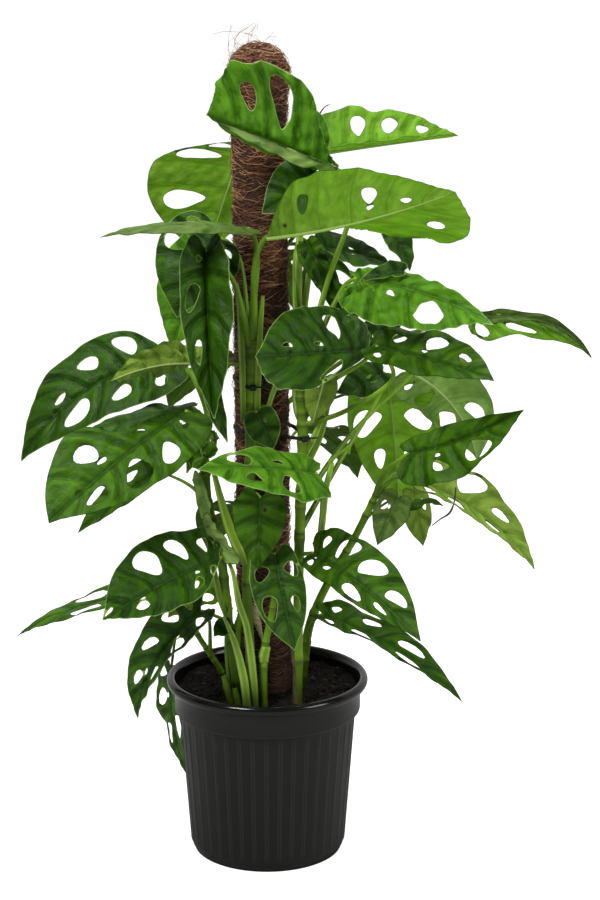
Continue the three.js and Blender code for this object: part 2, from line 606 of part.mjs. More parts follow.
/** A blade as a thin closed solid: its surface moved to both sides, and its edges moved outward by grow. */
function bladeSolid({ points, triangles }, halfThickness, grow = 0) {
  const normals = points.map(() => new THREE.Vector3());
  const edges = new Set();
  for (const [a, b, c] of triangles) {
    const normal = points[b].clone().sub(points[a]).cross(points[c].clone().sub(points[a]));
    for (const id of [a, b, c]) normals[id].add(normal);
    for (const edge of [[a, b], [b, c], [c, a]]) edges.add(edge.join());
  }
  const rim = [...edges].map((edge) => edge.split(',').map(Number))
    .filter(([a, b]) => !edges.has(`${b},${a}`));
  const outward = points.map(() => new THREE.Vector3());
  for (const [a, b] of rim) {
    const away = points[b].clone().sub(points[a]).cross(normals[a]).normalize();
    outward[a].add(away);
    outward[b].add(away);
  }
  const shifted = (distance) => points.map((p, i) => p.clone()
    .addScaledVector(normals[i].clone().normalize(), distance)
    .addScaledVector(outward[i].clone().normalize(), grow));
  const under = points.length;
  const faces = triangles.flatMap(([a, b, c]) => [[a, b, c], [c + under, b + under, a + under]]);
  for (const [a, b] of rim) faces.push([a, a + under, b + under], [a, b + under, b]);
  return solid([...shifted(halfThickness), ...shifted(-halfThickness)], faces);
}

// ---------------------------------------------------------------- stems and petioles

/** The path of a petiole: out of its stem, upward, and into the base of its blade. */
function stalkPath(leaf) {
  const stem = STEMS[leaf.stalk.stem];
  const root = vec(through(stem.path, leaf.stalk.from));
  const base = vec(leaf.base);
  if (leaf.stalk.via) {
    const stops = [root, ...leaf.stalk.via.map(vec), base].map((p) => p.toArray());
    return Array.from({ length: STALK_STEPS + 1 }, (_, i) => vec(through(stops, i / STALK_STEPS)));
  }
  const span = base.clone().sub(root);
  const outward = new THREE.Vector3(span.x, span.y, 0).normalize();
  const arrive = midrib(leaf, 0).along.multiplyScalar(0.5).addScaledVector(outward, 0.3);
  arrive.z += 0.5;
  arrive.normalize();
  const length = span.length();
  const leave = root.clone().addScaledVector(outward, 0.12 * length);
  leave.z += 0.4 * length;
  const enter = base.clone().addScaledVector(arrive, -0.3 * length);
  return new THREE.CubicBezierCurve3(root, leave, enter, base).getPoints(STALK_STEPS);
}

function stalkSolid(leaf) {
  const path = stalkPath(leaf);
  const { radius } = leaf.stalk;
  const radii = path.map((_, i) => THREE.MathUtils.lerp(radius, STALK_TIP_RADIUS, (i / STALK_STEPS) ** 3));
  return tube(path, radii, STALK_SIDES);
}

function stemSolid(stem, clearance = 0) {
  const steps = (stem.path.length - 1) * 2;
  const points = Array.from({ length: steps + 1 }, (_, i) => vec(through(stem.path, i / steps)));
  const radii = points.map((_, i) => THREE.MathUtils.lerp(...stem.radius, i / steps) + clearance);
  return tube(points, radii, STEM_SIDES);
}

const largest = (shape) => shape.decompose().reduce((a, b) => (b.volume() > a.volume() ? b : a));

// ---------------------------------------------------------------- pot, soil, pole, ties

function potSolid() {
  const { sides, height, footRadius, bodyBottom, bandBottom, bandRadius } = POT;
  const { beadRadius, beadCentre, wall, floor } = POT;
  const inside = (r) => r - wall;
  const profile = [
    [footRadius, 0], [footRadius, bodyBottom.z - 3], [bodyBottom.radius, bodyBottom.z],
    [bandBottom.radius, bandBottom.z - 3], [bandRadius, bandBottom.z + 3], [bandRadius, beadCentre - 8],
    [beadRadius - 3, beadCentre - 7], [beadRadius, beadCentre], [beadRadius - 4, height],
    [bandRadius, height - 1.5], [inside(bandRadius), height - 6], [inside(bandRadius), bandBottom.z + 4],
    [inside(bandBottom.radius), bandBottom.z - 3], [inside(bodyBottom.radius), floor],
  ];
  return loft(profile.map(([r, z]) => ring(sides, r, z)));
}

function soilSolid() {
  const random = seededRandom(SOIL.seed);
  const { sides, surface, dish } = SOIL;
  const inner = (r) => (r - POT.wall - GAP) * Math.cos(Math.PI / POT.sides) - GAP;
  const rough = (radius, z) => ring(sides, radius, z).map((p) => p.setZ(p.z + 1.6 * (random() - 0.5)));
  return loft([
    ring(sides, inner(POT.bodyBottom.radius) - 1, POT.floor + GAP),
    ring(sides, inner(POT.bandBottom.radius) - 1, POT.bandBottom.z - 4),
    ring(sides, inner(POT.bandRadius), POT.bandBottom.z + 8),
    rough(inner(POT.bandRadius), surface),
    rough(80, surface - dish),
    rough(45, surface - dish / 2),
  ]);
}

const poleAxis = (z) => POLE.lean[0] + POLE.lean[1] * z;

function poleSolid(clearance = 0) {
  const { sides, bottom, domeStart, top, radius, bumps } = POLE;
  const bumpy = (z) => (angle) => radius + clearance + bumps[0] * Math.sin(z * bumps[1] + 2 * angle);
  const levels = Array.from({ length: 9 }, (_, i) => THREE.MathUtils.lerp(bottom, domeStart, i / 8));
  const rings = levels.map((z) => ring(sides, bumpy(z), z, poleAxis(z)));
  rings.push(ring(sides, radius * 0.86 + clearance, domeStart + (top - domeStart) * 0.62, poleAxis(domeStart)));
  rings.push(ring(sides, radius * 0.5 + clearance, top, poleAxis(top)));
  return loft(rings);
}

/** A cable tie pulled round the pole and one stem. */
function tieSolid(tie, bundle) {
  const heights = [tie.z - tie.band / 2, tie.z + tie.band / 2];
  const slices = bundle.flatMap((shape) => heights.map((z) => shape.slice(z)));
  const around = wasm.CrossSection.hull(slices).simplify(TIE_SMOOTHING);
  const inside = around.offset(GAP + TIE_SMOOTHING, 'Miter');
  const strap = inside.offset(tie.thickness, 'Miter').subtract(inside);
  return strap.extrude(tie.band).translate([0, 0, heights[0]]);
}

// ---------------------------------------------------------------- the assembly

const group = new THREE.Group();

function addNode(name, shape, finish) {
  const mesh = shape.getMesh();
  const geometry = new THREE.BufferGeometry();
  geometry.setAttribute('position', new THREE.BufferAttribute(mesh.vertProperties, 3));
  geometry.setIndex(new THREE.BufferAttribute(mesh.triVerts, 1));
  geometry.computeVertexNormals();
  const node = new THREE.Mesh(geometry, new THREE.MeshStandardMaterial({ ...FINISHES[finish], metalness: 0 }));
  node.name = name;
  group.add(node);
}

const blades = Object.entries(LEAVES).map(([name, leaf]) => (
  { name, surface: bladeSurface(leaf, name.length) }
));
const keepOut = wasm.Manifold.union(blades.map(({ surface }) => (
  bladeSolid(surface, BLADE_HALF_THICKNESS + GAP, GAP)
)));
const stems = Object.entries(STEMS).map(([name, stem]) => {
  const stalks = Object.values(LEAVES).filter((leaf) => leaf.stalk.stem === name).map(stalkSolid);
  const clear = wasm.Manifold.union([stemSolid(stem), ...stalks]).subtract(keepOut);
  return { name, shape: largest(clear).simplify(MERGE_TOLERANCE) };
});
const pole = poleSolid();
const holesInSoil = [poleSolid(STEM_HOLE_CLEARANCE),
  ...Object.values(STEMS).map((stem) => stemSolid(stem, STEM_HOLE_CLEARANCE))];

addNode('pot', potSolid(), 'pot');
const soil = soilSolid().subtract(wasm.Manifold.union(holesInSoil)).simplify(MERGE_TOLERANCE);
addNode('soil', soil, 'soil');
addNode('coir_pole', pole, 'coir');
for (const tie of TIES) addNode(tie.name, tieSolid(tie, [pole, stemSolid(STEMS[tie.holds])]), 'tie');
for (const { name, shape } of stems) addNode(`stem_${name}`, shape, 'stem');
for (const { name, surface } of blades) addNode(`leaf_${name}`, bladeSolid(surface, BLADE_HALF_THICKNESS), 'leaf');

export default group;
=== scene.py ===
"""Monstera adansonii in its nursery pot, grown up a coir pole.

The tables are in millimetres, and every mesh is made in metres. +Z is up, and -Y is the front.
"""

import logging
import math
import zlib
from dataclasses import dataclass, field
from enum import Enum

import bpy
import numpy as np
from bpy.types import Material, Node, NodeSocket, NodeTree, Object
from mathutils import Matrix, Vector
from mathutils.geometry import delaunay_2d_cdt
from mathutils.kdtree import KDTree


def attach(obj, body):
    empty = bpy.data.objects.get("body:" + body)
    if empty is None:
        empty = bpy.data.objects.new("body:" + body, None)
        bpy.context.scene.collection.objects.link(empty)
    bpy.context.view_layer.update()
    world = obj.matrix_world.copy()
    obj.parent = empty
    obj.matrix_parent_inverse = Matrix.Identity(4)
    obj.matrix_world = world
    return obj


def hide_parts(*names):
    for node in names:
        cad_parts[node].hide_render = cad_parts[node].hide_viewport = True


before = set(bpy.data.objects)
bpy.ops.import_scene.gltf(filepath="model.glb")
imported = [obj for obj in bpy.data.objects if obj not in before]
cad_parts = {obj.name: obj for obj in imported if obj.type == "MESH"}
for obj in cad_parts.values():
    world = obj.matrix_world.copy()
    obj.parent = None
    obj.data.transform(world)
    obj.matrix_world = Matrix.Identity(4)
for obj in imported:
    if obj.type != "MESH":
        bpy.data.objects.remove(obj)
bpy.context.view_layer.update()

LOG = logging.getLogger("monstera")
MM = 0.001
NO_LINES = 99.0  # the distance in millimetres where there is nothing to measure to
Colour = tuple[float, float, float]
Point = tuple[float, float, float]


# ---------------------------------------------------------------------------- the plant's tables

class Outline(Enum):
    """Half outlines: shares of the way along the midrib and of the half's width."""

    HEART = ((-0.05, 0.2), (-0.075, 0.5), (0, 0.8), (0.16, 0.98), (0.36, 1), (0.57, 0.86),
             (0.76, 0.56), (0.91, 0.2), (1, 0))
    SPOON = ((-0.01, 0.06), (0.05, 0.18), (0.2, 0.42), (0.42, 0.74), (0.66, 0.97), (0.83, 1),
             (0.95, 0.78), (1.01, 0.38), (1, 0))
    SAIL = ((0, 0.07), (0.07, 0.12), (0.15, 0.24), (0.26, 0.46), (0.43, 0.78), (0.68, 0.9),
            (0.91, 0.84), (1.07, 0.6), (1, 0))
    FIN = ((0, 0.05), (0.03, 0.24), (0.09, 0.52), (0.2, 0.86), (0.38, 1), (0.58, 0.88), (0.77, 0.58),
           (0.92, 0.2), (1, 0))
    KITE = ((0, 0.05), (0.1, 0.22), (0.25, 0.32), (0.38, 0.55), (0.48, 0.9), (0.6, 1), (0.76, 0.78),
            (0.9, 0.42), (1, 0))


class Tone(Enum):
    """How a blade looks: its age, and how much light comes through it."""

    DEEP = "deep"
    MID = "mid"
    FRESH = "fresh"
    LIT = "lit"
    PALE = "pale"
    OLIVE = "olive"
    GREY = "grey"


@dataclass(frozen=True)
class Half:
    """One half of a blade: width, a letter for each space, and fold at base and tip in degrees."""

    width: float
    holes: str
    fold: tuple[float, float] = (5, 5)
    curl: float = 0.5
    outline: Outline = Outline.HEART
    belly: float = 1.0
    lobe: float = 1.0


@dataclass(frozen=True)
class Stalk:
    """A petiole: its stem, how far up the stem it starts, its radius, and points that it passes."""

    stem: str
    start: float
    radius: float
    via: tuple[Point, ...] = ()


@dataclass(frozen=True)
class Blade:
    """A blade: the ends of its midrib, the bow of its middle, the way it faces, and its halves."""

    base: Point
    tip: Point
    bow: Point
    face: Point
    left: Half
    right: Half
    stalk: Stalk
    tone: Tone
    wave: float = 2.0


@dataclass(frozen=True)
class Stem:
    """A stem: its radius at the foot and at the top, and the points of its axis."""

    radius: tuple[float, float]
    path: tuple[Point, ...]


@dataclass(frozen=True)
class Trimming:
    """A bare form on the shoots: the points of its middle line, its radii there, and its kind."""

    path: tuple[Point, ...]
    radii: tuple[float, ...]
    kind: str


STEMS: dict[str, Stem] = {
    "front": Stem((5.6, 6.2), ((-13, -66, 170), (-22, -58, 326), (-19, -52, 445), (-17, -51, 564),
        (-15, -51, 640))),
    "right": Stem((5.6, 6.2), ((36, -56, 170), (37, -58, 327), (39, -56, 423), (42, -54, 518),
        (40, -50, 590))),
    "left": Stem((5, 6), ((-30, -52, 170), (-42, -53, 276), (-52, -58, 376), (-68, -54, 447),
        (-70, -48, 492))),
    "spread": Stem((6, 4), ((38, -6, 170), (44, -4, 235), (52, -6, 285), (76, -12, 342), (102, -20, 390),
        (130, -24, 450))),
    "low": Stem((5, 3.2), ((-3, -74, 170), (-3, -74, 262), (6, -78, 315), (11, -78, 350))),
    "side": Stem((4, 3), ((-46, -22, 170), (-52, -26, 222), (-66, -30, 250), (-82, -28, 276),
        (-92, -20, 300))),
    "back": Stem((8, 5), ((0, 51, 170), (-3, 51, 400), (-6, 51, 600), (-8, 51, 800))),
}

BLADES: dict[str, Blade] = {
    "crown_shield": Blade((80, -50, 826), (-62, -120, 894), (0, -12, 6), (.05, -1, .15),
        Half(34, "----", (-80, -60)), Half(86, "----xm-", (0, 10), curl=18, outline=Outline.SAIL),
        Stalk("right", .99, 3.8, via=((70, -46, 700), (95, -53, 780))), Tone.FRESH, 4),
    "crown_right": Blade((57, 34, 836), (223, 80, 851), (0, 0, 2), (0, 0, 1),
        Half(56, "---llm-", (45, 38), belly=.85, lobe=.2), Half(38, "--m--", (12, 14), belly=.92),
        Stalk("back", .84, 3.4), Tone.LIT),
    "crown_front": Blade((4, -90, 759), (205, -160, 818), (0, 0, -14), (0, .8, .45),
        Half(72, "----o-", (75, -5), outline=Outline.SPOON, belly=.85),
        Half(74, "---m-ms-", (5, 0), outline=Outline.FIN, belly=.9), Stalk("front", .97, 4.2), Tone.LIT),
    "crown_shade": Blade((58, -34, 812), (-4, -52, 778), (0, 0, 6), (-.2, -.9, .25),
        Half(36, "----", belly=1.2), Half(36, "----", belly=1.2), Stalk("back", .76, 2.6), Tone.DEEP),
    "crown_left": Blade((-26, 66, 844), (-72, 84, 705), (-4, 0, 0), (-.3, .85, .4),
        Half(98, "sxx-xm-", outline=Outline.FIN, belly=.88), Half(40, "----"), Stalk("back", .9, 3),
        Tone.LIT),
    "ribbon_left": Blade((-19, -66, 764), (-177, -150, 768), (0, 0, 16), (0, 0, 1),
        Half(30, "----", (-12, -12)), Half(30, "----", (-6, -4)), Stalk("front", .93, 4), Tone.OLIVE, .4),
    "left_shade": Blade((-51, -30, 747), (-101, -46, 658), (-8, 0, 16), (-.35, -.85, .35),
        Half(46, "-m-m-"), Half(58, "-lxs-"), Stalk("front", .95, 2.6), Tone.DEEP),
    "left_hanging": Blade((-66, -76, 743), (-56, -128, 560), (-4, 0, 0), (-.1, -.9, .3),
        Half(38, "-----", (40, 30)), Half(34, "-slm-", (40, 30)),
        Stalk("front", .89, 3.4, via=((-34, -68, 700),)), Tone.DEEP),
    "left_behind": Blade((-60, 22, 711), (-113, 60, 600), (-10, 0, 8), (-.4, -.7, .5), Half(38, "-m--"),
        Half(62, "-lxs-"), Stalk("back", .66, 2.6), Tone.FRESH),
    "left_upper": Blade((-109, -8, 602), (-287, -10, 481), (-26, 0, 48), (-.25, -.6, .75),
        Half(50, "-mml-", (-10, -10)), Half(53, "--lms-", (25, 10), outline=Outline.FIN),
        Stalk("left", .99, 3.4, via=((-68, -26, 540), (-88, -12, 588))), Tone.DEEP),
    "left_edge": Blade((-84, -38, 553), (-212, -80, 531), (0, 0, 8), (-.1, -.45, .9),
        Half(34, "-mm-", (-14, -14)), Half(30, "-m--", (-24, -24)), Stalk("left", .94, 2.4), Tone.DEEP),
    "left_broad": Blade((-90, -84, 559), (-236, -190, 458), (-6, 0, 8), (-.15, -.85, .5),
        Half(54, "-slxl-", belly=.88), Half(60, "--mm-", outline=Outline.KITE), Stalk("left", .9, 3.4),
        Tone.MID),
    "left_lower_tip": Blade((-128, 0, 468), (-225, 14, 388), (0, 0, 6), (-.2, -.7, .6), Half(14, "----"),
        Half(26, "-m-"), Stalk("left", .66, 2.4), Tone.MID),
    "left_curled": Blade((-71, -62, 609), (-172, -122, 602), (0, 0, 16), (0, .9, .4),
        Half(24, "----", (30, 30), curl=40), Half(26, "----", (20, 20), curl=40), Stalk("front", .83, 2.4),
        Tone.PALE, 3),
    "low_left": Blade((-52, -90, 389), (-180, -184, 345), (0, 0, 10), (-.15, -.75, .65),
        Half(41, "-lm-m-", outline=Outline.FIN, belly=.8), Half(56, "-mlx-m", belly=.8),
        Stalk("left", .5, 3), Tone.DEEP),
    "low_left_edge": Blade((-122, 22, 312), (-309, 74, 240), (0, 0, 26), (0, -.18, 1), Half(36, "-ml-"),
        Half(34, "-ml-"), Stalk("side", .97, 2.4), Tone.MID),
    "pot_left": Blade((-76, -56, 314), (-149, -112, 202), (-30, 0, 10), (-.5, -.75, .4),
        Half(26, "-llm-", (15, 35)), Half(38, "-llmm-"), Stalk("side", .5, 2.4), Tone.DEEP),
    "pot_back": Blade((-120, 84, 194), (-103, 108, 42), (-14, 0, 0), (-.75, -.5, .3), Half(30, "-ll-"),
        Half(30, "-lll-"), Stalk("back", .1, 2.4, via=((-56, 72, 262), (-104, 86, 262))), Tone.MID),
    "low_left_pale": Blade((-64, 40, 316), (-121, 46, 273), (0, 0, 6), (.1, .8, .5), Half(26, "-m-"),
        Half(26, "-l-"), Stalk("left", .34, 2), Tone.LIT),
    "low_dark": Blade((-40, -76, 302), (-60, -97, 297), (0, 0, 4), (-.2, -.8, .5), Half(13, "---"),
        Half(13, "---"), Stalk("left", .25, 1.8), Tone.DEEP),
    "centre_bright": Blade((57, -84, 487), (-72, -190, 519), (0, 0, 8), (0, -.6, .8),
        Half(52, "--lm-", belly=.9, lobe=.3), Half(29, "--sx-", belly=.9), Stalk("right", .56, 3.2),
        Tone.FRESH),
    "centre_heart": Blade((-6, -91, 460), (-9, -108, 379), (0, -6, 0), (0, -.95, .3),
        Half(31, "-----", (12, 5), belly=1.3, lobe=1.6), Half(31, "-----", (12, 5), belly=1.3, lobe=1.6),
        Stalk("front", .5, 2.4), Tone.MID),
    "centre_low": Blade((10, -90, 393), (33, -150, 297), (0, -8, 0), (.05, -.95, .3),
        Half(27, "-lm-", belly=.9), Half(34, "-lx-", belly=.9), Stalk("low", .97, 2.4), Tone.DEEP),
    "centre_dark": Blade((-10, -66, 554), (9, -60, 508), (0, -2, 0), (0, -.95, .25), Half(20, "---"),
        Half(20, "---"), Stalk("front", .68, 2), Tone.DEEP),
    "centre_cup": Blade((117, -72, 627), (-9, -170, 640), (0, 0, 0), (0, -.35, .93),
        Half(46, "--l--", (-25, -35), outline=Outline.SPOON), Half(60, "--l-s-", (30, 36), belly=.85),
        Stalk("right", .84, 3.4), Tone.DEEP),
    "centre_pale": Blade((67, -66, 595), (53, -66, 540), (0, 0, 0), (-.1, .95, .1), Half(18, "---"),
        Half(18, "---"), Stalk("right", .9, 2), Tone.PALE),
    "centre_dark_right": Blade((135, -34, 593), (80, -56, 574), (0, 0, -8), (0, -.7, .7), Half(18, "---"),
        Half(24, "---"), Stalk("right", .8, 2), Tone.DEEP),
    "low_right": Blade((54, -86, 393), (173, -190, 322), (4, 0, 14), (.15, -.8, .55), Half(45, "-mxxl-"),
        Half(26, "-msxm-", lobe=.3), Stalk("right", .36, 3.2), Tone.MID),
    "low_right_edge": Blade((65, -36, 303), (227, -104, 220), (4, 0, 26), (.1, -.25, .95),
        Half(34, "-mml-"), Half(18, "-mll-"), Stalk("spread", .2, 2.6), Tone.MID),
    "right_sail": Blade((46, -14, 742), (82, -40, 657), (4, 0, 4), (.2, -.9, .35),
        Half(36, "--l-", outline=Outline.SPOON), Half(14, "----"),
        Stalk("right", .96, 2.6, via=((32, -38, 690), (36, -6, 738))), Tone.DEEP),
    "right_bar": Blade((64, 12, 731), (146, 42, 705), (0, 0, 6), (0, -.5, .85), Half(28, "----"),
        Half(30, "----"), Stalk("back", .7, 2.2), Tone.DEEP),
    "right_teal": Blade((138, 12, 754), (167, 20, 700), (6, 0, 6), (.5, -.7, .5), Half(22, "---"),
        Half(18, "---"), Stalk("back", .78, 2, via=((70, 46, 744),)), Tone.DEEP),
    "right_bright": Blade((103, -68, 707), (250, -150, 671), (6, 0, 16), (0, -.55, .8),
        Half(20, "-----", (10, 20)), Half(54, "---x-", (-12, -12)),
        Stalk("right", .93, 3.4, via=((64, -40, 642), (88, -50, 694))), Tone.FRESH),
    "right_mid": Blade((124, -92, 636), (248, -190, 618), (4, 0, 4), (0, -.65, .75),
        Half(36, "-mlm-", belly=.72), Half(28, "-m---"),
        Stalk("right", .8, 3.2, via=((92, -68, 556), (143, -90, 598))), Tone.MID),
    "right_far": Blade((235, -6, 650), (384, 54, 592), (20, 0, 34), (0, -.3, .95),
        Half(28, "-m--", (-10, -10), belly=1.3), Half(28, "-xl-", (-30, -30), belly=1.6, lobe=.4),
        Stalk("back", .52, 3.2, via=((110, 52, 600),)), Tone.LIT),
    "right_dark": Blade((99, 12, 624), (170, 44, 652), (0, 0, 4), (0, -.6, .8), Half(28, "-m-"),
        Half(28, "-m-"), Stalk("back", .56, 2.2), Tone.DEEP),
    "right_hanging": Blade((143, 62, 559), (161, 118, 379), (4, 0, 8), (.1, .9, .2), Half(54, "-lxm-"),
        Half(56, "-mxl-"), Stalk("right", .46, 3.4, via=((84, 0, 476),)), Tone.LIT),
    "right_pale": Blade((173, 18, 581), (252, 62, 465), (22, 0, 20), (.3, .8, .3), Half(50, "-mlx-"),
        Half(50, "-m-l-"), Stalk("right", .54, 3.2, via=((96, -14, 512),)), Tone.GREY),
    "right_open": Blade((162, -74, 507), (284, -150, 576), (0, 0, -14), (0, -.75, .6), Half(22, "----"),
        Half(48, "--mx-"), Stalk("spread", .97, 3.2), Tone.MID),
    "right_long": Blade((177, -50, 468), (311, -64, 367), (14, 0, 22), (.35, -.25, .9),
        Half(44, "-lxm-", (30, 20)), Half(26, "-llm-"), Stalk("spread", .97, 3, via=((150, -34, 468),)),
        Tone.PALE),
    "right_small_a": Blade((154, -38, 447), (128, -52, 392), (0, 0, 4), (-.3, -.8, .4), Half(22, "---"),
        Half(22, "-m-"), Stalk("spread", .8, 2), Tone.OLIVE),
    "right_small_b": Blade((171, 12, 441), (187, 40, 363), (0, 0, 2), (.1, -.9, .4), Half(18, "-m-"),
        Half(18, "---"), Stalk("spread", .94, 2, via=((148, -4, 464), (168, 18, 460))), Tone.PALE),
    "back_top": Blade((4, 78, 722), (34, 186, 622), (0, 10, 26), (.1, .6, .8), Half(40, "-ml-"),
        Half(40, "-lm-"), Stalk("back", .8, 2.6), Tone.MID),
    "back_left": Blade((-40, 84, 590), (-124, 176, 500), (-8, 8, 26), (-.3, .6, .75), Half(42, "-lm-"),
        Half(42, "-ml-"), Stalk("back", .5, 2.6), Tone.MID),
    "back_right": Blade((40, 86, 500), (112, 190, 410), (8, 8, 26), (.3, .6, .75), Half(42, "-ml-"),
        Half(42, "-lm-"), Stalk("back", .36, 2.6), Tone.MID),
    "back_low": Blade((-24, 88, 404), (-78, 196, 312), (-4, 10, 26), (-.2, .6, .8), Half(42, "-lm-"),
        Half(42, "-ml-"), Stalk("back", .22, 2.6), Tone.MID),
    "left_young": Blade((-66, -68, 498), (-86, -76, 522), (-6, 0, 0), (-.3, -.9, .1),
        Half(18, "---", (40, 40)), Half(22, "---"), Stalk("left", .97, 2), Tone.FRESH),
}

NO_STALK = Stalk("", 0, 1.2)  # for forms without a petiole; only its radius counts, for the midrib

# Crumpled remains of spent sheaths, and small parts of blades that have no stalk of their own.
REMNANTS: dict[str, Blade] = {
    "sheath_upper": Blade((-76, -62, 480), (-72, -66, 417), (5, 0, 0), (-0.3, -0.95, 0.1),
        Half(14, "---", (20, 35), 20, Outline.SPOON, 0.8), Half(9, "---", (15, 20), 20), NO_STALK,
        Tone.GREY, 1.5),
    "sheath_lower": Blade((-72, -74, 430), (-29, -78, 383), (-8, 0, -9), (-0.1, -0.9, 0.45),
        Half(12, "---", (20, 30), 20), Half(14, "---", (20, 20), 20, Outline.SPOON, 0.8), NO_STALK,
        Tone.GREY, 1.5),
    "shield_band": Blade((78, -57, 829), (-56, -122, 889), (0, -13, 3), (0.05, -0.9, -0.45),
        Half(13, "----", (-10, 0), 10, belly=1.2), Half(2, "----", (0, 0)), NO_STALK, Tone.GREY),
    "bright_ridge": Blade((154, -92, 720), (103, -78, 705), (0, 0, 7), (0, -0.9, 0.4),
        Half(7, "----", (20, 10), belly=1.1), Half(12, "----", (-10, -20), belly=1.1), NO_STALK, Tone.DEEP),
    "bright_tongue": Blade((108, -84, 704), (150, -104, 666), (-4, 0, -6), (0, -0.8, 0.6),
        Half(9, "---", (10, 20)), Half(10, "---", (0, 10)), NO_STALK, Tone.LIT),
    "far_roll": Blade((250, -6, 652), (383, 50, 592), (26, -2, 34), (0, -0.75, 0.65),
        Half(7, "----", (30, 40), 30, belly=1.1), Half(9, "----", (0, 10), 20, belly=1.1), NO_STALK,
        Tone.OLIVE),
    "inner_drop": Blade((47, -34, 742), (92, -44, 668), (-6, 0, 4), (-0.2, -0.9, 0.3),
        Half(16, "-l-", (10, 20)), Half(17, "-ml-", (10, 20)), NO_STALK, Tone.MID),
    "hanging_fold": Blade((-62, -90, 600), (-42, -100, 526), (-4, 0, 0), (0.2, -0.95, 0.1),
        Half(9, "---", (10, 20), belly=0.9), Half(12, "---", (10, 20), belly=0.9), NO_STALK, Tone.DEEP),
    "left_crumple": Blade((-72, -72, 549), (-90, -84, 486), (6, 0, 6), (-0.2, -0.85, 0.4),
        Half(15, "-m-", (15, 30), 20), Half(13, "---", (10, 30), 20), NO_STALK, Tone.FRESH, 2.5),
    "small_pale": Blade((-60, -64, 530), (-60, -70, 508), (2, 0, 0), (-0.2, -0.95, 0.1),
        Half(5, "---", (20, 30)), Half(4, "---", (20, 30)), NO_STALK, Tone.GREY),
    "side_tongue": Blade((160, -20, 426), (207, -20, 431), (6, 0, 14), (0, -0.5, 0.85), Half(6, "---"),
        Half(7, "---"), NO_STALK, Tone.MID),
    "shield_flap": Blade((58, -38, 850), (38, -46, 902), (10, 0, 4), (0.1, -0.95, 0.1), Half(12, "-m-"),
        Half(15, "---", (10, -20)), Stalk("", 0, 1.4), Tone.FRESH),
}

